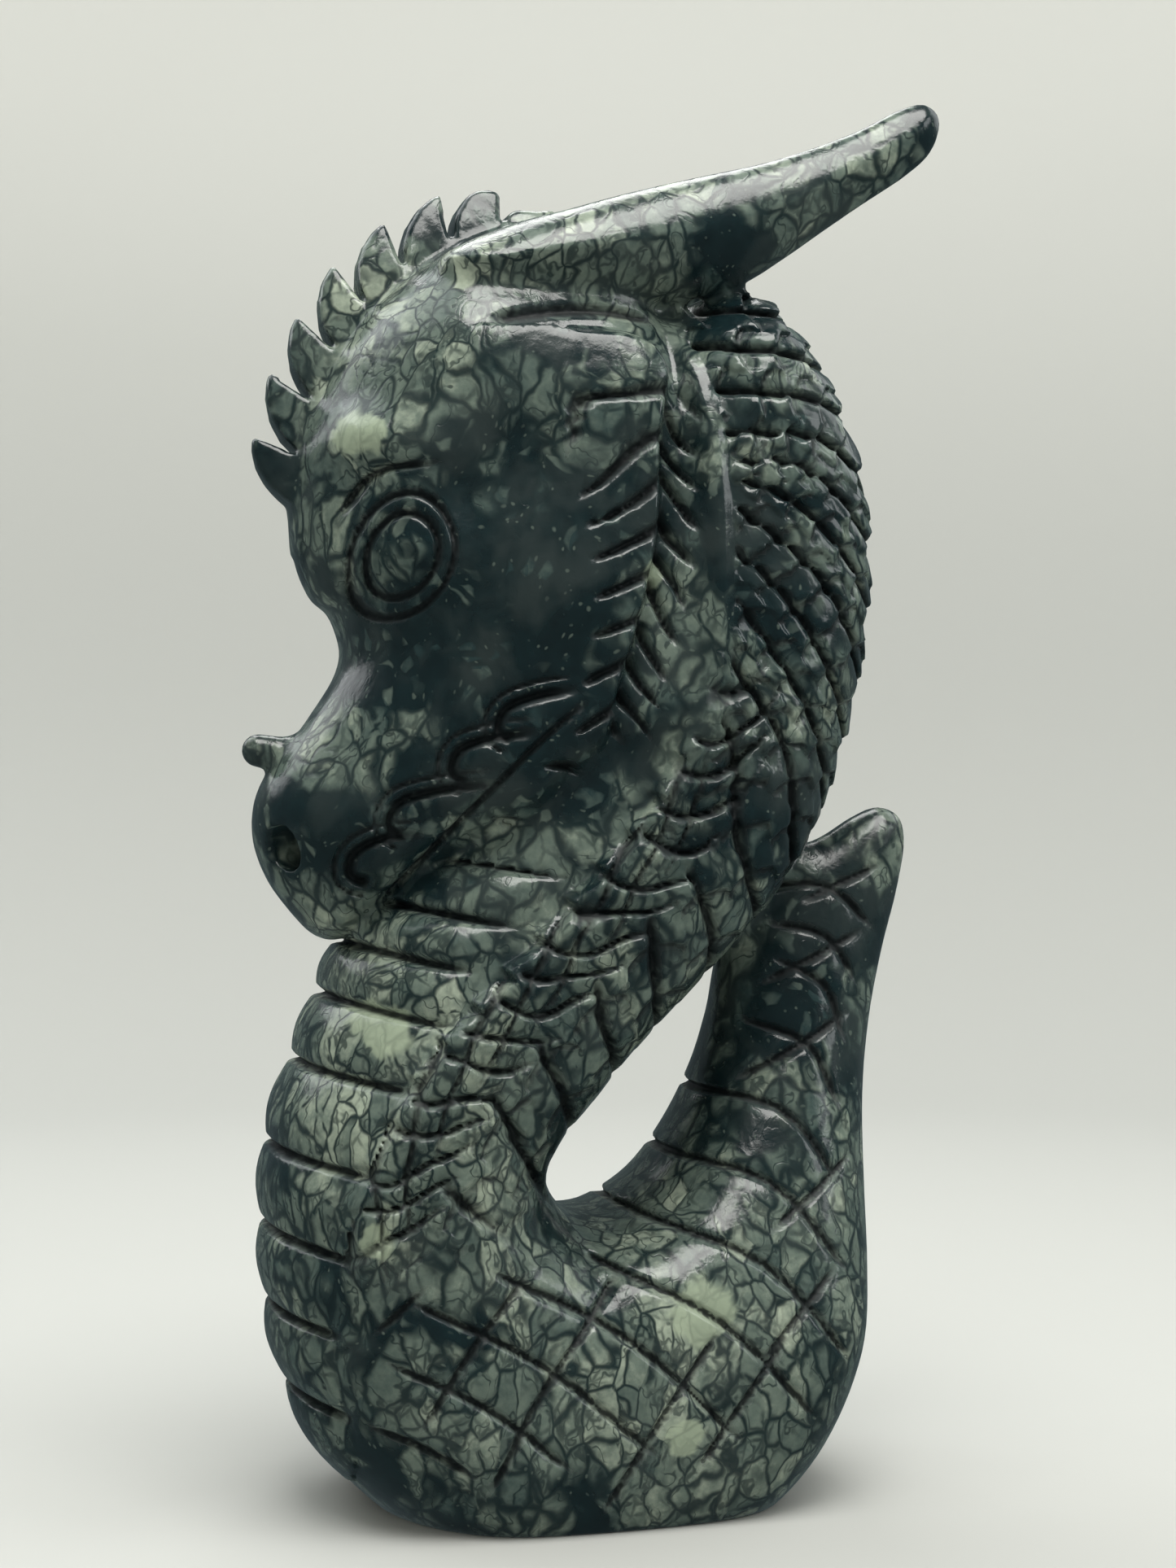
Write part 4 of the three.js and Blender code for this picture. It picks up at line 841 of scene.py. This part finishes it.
    polish = n.math("MULTIPLY_ADD", n.noise(millimetres, 7, 3), POLISH_CLOUD, POLISH)
    polish = n.math("ADD", polish, n.math("MULTIPLY", n.noise(millimetres, 0.8, 2), POLISH_GRAIN))
    sawn = n.math("MULTIPLY", n.between(carved, 0.0, 0.35), CUT_ROUGHNESS)
    tree.links.new(n.math("ADD", polish, sawn), shader.inputs["Roughness"])
    shader.inputs["IOR"].default_value = REFRACTION
    height = n.math("ADD", n.noise(millimetres, 3.4, 4, 0.55), n.math("MULTIPLY", veins, -0.16))
    bump = n.node("ShaderNodeBump", {"Height": height, "Strength": BUMP_STRENGTH, "Distance": BUMP_HEIGHT})
    tree.links.new(bump.outputs["Normal"], shader.inputs["Normal"])
    return material


# Where the stone is full of pale clasts, where it is nearly plain, and two spots of painted shade: (x, z),
# radius and strength.
PALE_AND_SHADE_REGIONS = [
    ((-30, 165), 14, 1.1), ((-36, 148), 7, 1.0), ((-38, 66), 13, 0.9), ((4, 26), 24, 0.8),
    # painted shade: ((-10, 164), 7, -0.7) darkens the hollow fold under the horn
    ((-22, 60), 14, 0.5), ((30, 190), 20, 0.5), ((-8, 176), 9, 0.9), ((-10, 164), 7, -0.7),
    ((-46, 146), 5, -0.8), ((-44, 158), 5, -0.8), ((-24, 182), 5, -0.8), ((-17, 137), 9, -1.0),
    ((8, 183), 12, 0.5), ((-8, 91), 8, 0.6), ((-10, 103), 8, -0.9), ((-36, 40), 12, 0.3),
    # painted shade: ((-14, 108), 9, -0.9) darkens the crease under the upper lip
    ((34, 50), 10, 0.3), ((-24, 118), 14, -1.1), ((-42, 94), 9, -0.9), ((-14, 108), 9, -0.9),
    ((9, 136), 12, -0.5), ((-30, 132), 5, 0.5), ((-41, 104), 6, 1.1), ((-30, 110), 4, 0.8),
    ((-30, 79), 8, 0.6), ((-32, 19), 10, 0.35), ((20, 177), 10, -0.6), ((36, 84), 12, -0.7),
    ((26, 66), 8, -0.6), ((-16, 128), 9, -0.6),
]

# Smooth celadon patches: (x, z) and radius.
CELADON_PATCHES = [
    ((9, 29.5), 5.2), ((-34, 68.5), 4.2), ((-36.5, 149), 3.6), ((-36, 41), 2.6), ((2, 130), 2.4),
    ((6, 13), 3.2),
]


def paleness_and_shade(x, z):
    return sum(strength * hump(x, z, place, radius) for place, radius, strength in PALE_AND_SHADE_REGIONS)


def celadon(x, z):
    return sum(hump(x, z, place, radius) for place, radius in CELADON_PATCHES)


# The photograph's camera: 15 degrees forward of square to the left flank, level, 380 mm away.
CAMERA_AZIMUTH = -15
CAMERA_DISTANCE = 0.380
CAMERA_HEIGHT = 0.1015
LENS = 60


def direction(azimuth, elevation=0):
    """From the carving towards a place round it, azimuth 0 being square to its left flank, in degrees."""
    a, e = math.radians(azimuth), math.radians(elevation)
    return Vector((math.sin(a) * math.cos(e), -math.cos(a) * math.cos(e), math.sin(e)))


def make_camera(centre):
    data = bpy.data.cameras.new("camera")
    data.lens = LENS
    data.clip_start = 0.01
    camera = bpy.data.objects.new("camera", data)
    back = direction(CAMERA_AZIMUTH)
    aim = Vector((-centre[0] * MM, 0, CAMERA_HEIGHT - centre[2] * MM))
    camera.location = back * CAMERA_DISTANCE + aim
    camera.rotation_euler = (-back).to_track_quat("-Z", "Y").to_euler()
    bpy.context.scene.collection.objects.link(camera)
    bpy.context.scene.camera = camera


FLOOR_RADIUS = 0.45  # of the flat floor, before it curves up into the backdrop
COVE_RADIUS = 0.50
COVE_STEPS = 24
WALL_HEIGHT = 2.4
STAGE_SIDES = 96
STAGE_COLOUR = (0.47, 0.475, 0.457, 1)
WALL_GLOW = 0.30
WALL_GLOW_RISE = (0.12, 0.5)  # heights between which the backdrop grows brighter
WALL_GLOW_COLOUR = (1.0, 1.0, 0.92, 1)


def make_stage():
    """A pale floor that curves up into a round backdrop, the same from every side."""
    profile = [(0, 0), (FLOOR_RADIUS, 0)]
    for i in range(1, COVE_STEPS + 1):
        a = math.pi / 2 * i / COVE_STEPS
        profile.append((FLOOR_RADIUS + COVE_RADIUS * math.sin(a), COVE_RADIUS * (1 - math.cos(a))))
    profile.append((FLOOR_RADIUS + COVE_RADIUS, WALL_HEIGHT))
    turns = [2 * math.pi * i / STAGE_SIDES for i in range(STAGE_SIDES)]
    points = [(0, 0, 0)]
    faces = []
    for r, z in profile[1:]:
        points += [(r * math.cos(t), r * math.sin(t), z) for t in turns]
    for i in range(STAGE_SIDES):
        j = (i + 1) % STAGE_SIDES
        faces.append((0, 1 + i, 1 + j))
        for ring in range(len(profile) - 2):
            low, high = 1 + ring * STAGE_SIDES, 1 + (ring + 1) * STAGE_SIDES
            faces.append((low + i, high + i, high + j, low + j))
    mesh = bpy.data.meshes.new("stage")
    mesh.from_pydata(points, [], faces)
    mesh.polygons.foreach_set("use_smooth", np.ones(len(mesh.polygons), bool))
    floor = bpy.data.objects.new("stage", mesh)
    bpy.context.scene.collection.objects.link(floor)
    paper = bpy.data.materials.new("stage_paper")
    paper.use_nodes = True
    shader = paper.node_tree.nodes["Principled BSDF"]
    shader.inputs["Base Color"].default_value = STAGE_COLOUR
    shader.inputs["Roughness"].default_value = 0.7
    n = Nodes(paper.node_tree)
    place = n.node("ShaderNodeTexCoord").outputs["Object"]
    up = n.node("ShaderNodeSeparateXYZ", {0: place}).outputs["Z"]
    glow = n.between(up, *WALL_GLOW_RISE, 0.0, WALL_GLOW)
    paper.node_tree.links.new(glow, shader.inputs["Emission Strength"])
    shader.inputs["Emission Color"].default_value = WALL_GLOW_COLOUR
    mesh.materials.append(paper)
    floor.visible_glossy = False


# Softboxes aimed at the carving's middle: (azimuth, elevation, distance, width, height, watts, colour).
SOFTBOXES = [
    (4, 72, 0.75, 0.55, 0.45, 6.8, (1.0, 0.99, 0.95)),
    (-120, 56, 0.62, 0.35, 0.35, 0.6, (0.93, 0.98, 1.0)),
    (60, 30, 0.76, 0.26, 0.38, 0.95, (0.96, 0.99, 1.0)),
    (112, 34, 0.80, 0.45, 0.50, 0.8, (0.97, 0.99, 1.0)),
    (-142, 34, 0.80, 0.45, 0.50, 1.1, (0.97, 0.99, 1.0)),
    (180, 55, 0.70, 0.35, 0.30, 1.5, (1.0, 1.0, 0.98)),
]
SOFTBOX_AIM = (0, 0, 0.1)
WORLD_COLOUR = (0.72, 0.95, 1.0, 1)
WORLD_STRENGTH = 0.12


def make_lights():
    for azimuth, elevation, distance, width, height, watts, colour in SOFTBOXES:
        data = bpy.data.lights.new("softbox", "AREA")
        data.shape = "RECTANGLE"
        data.size = width
        data.size_y = height
        data.energy = watts
        data.color = colour
        light = bpy.data.objects.new("softbox", data)
        back = direction(azimuth, elevation)
        light.location = Vector(SOFTBOX_AIM) + back * distance
        light.rotation_euler = (-back).to_track_quat("-Z", "Y").to_euler()
        light.visible_camera = False
        bpy.context.scene.collection.objects.link(light)
    world = bpy.data.worlds.new("room")
    world.use_nodes = True
    background = world.node_tree.nodes["Background"]
    background.inputs["Color"].default_value = WORLD_COLOUR
    background.inputs["Strength"].default_value = WORLD_STRENGTH
    bpy.context.scene.world = world
    bpy.context.scene.view_settings.view_transform = "Standard"


piece, centre = main_piece()
piece.data.materials.append(jasper())
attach(piece, "root")
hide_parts(NODE)
make_stage()
make_lights()
make_camera(centre)
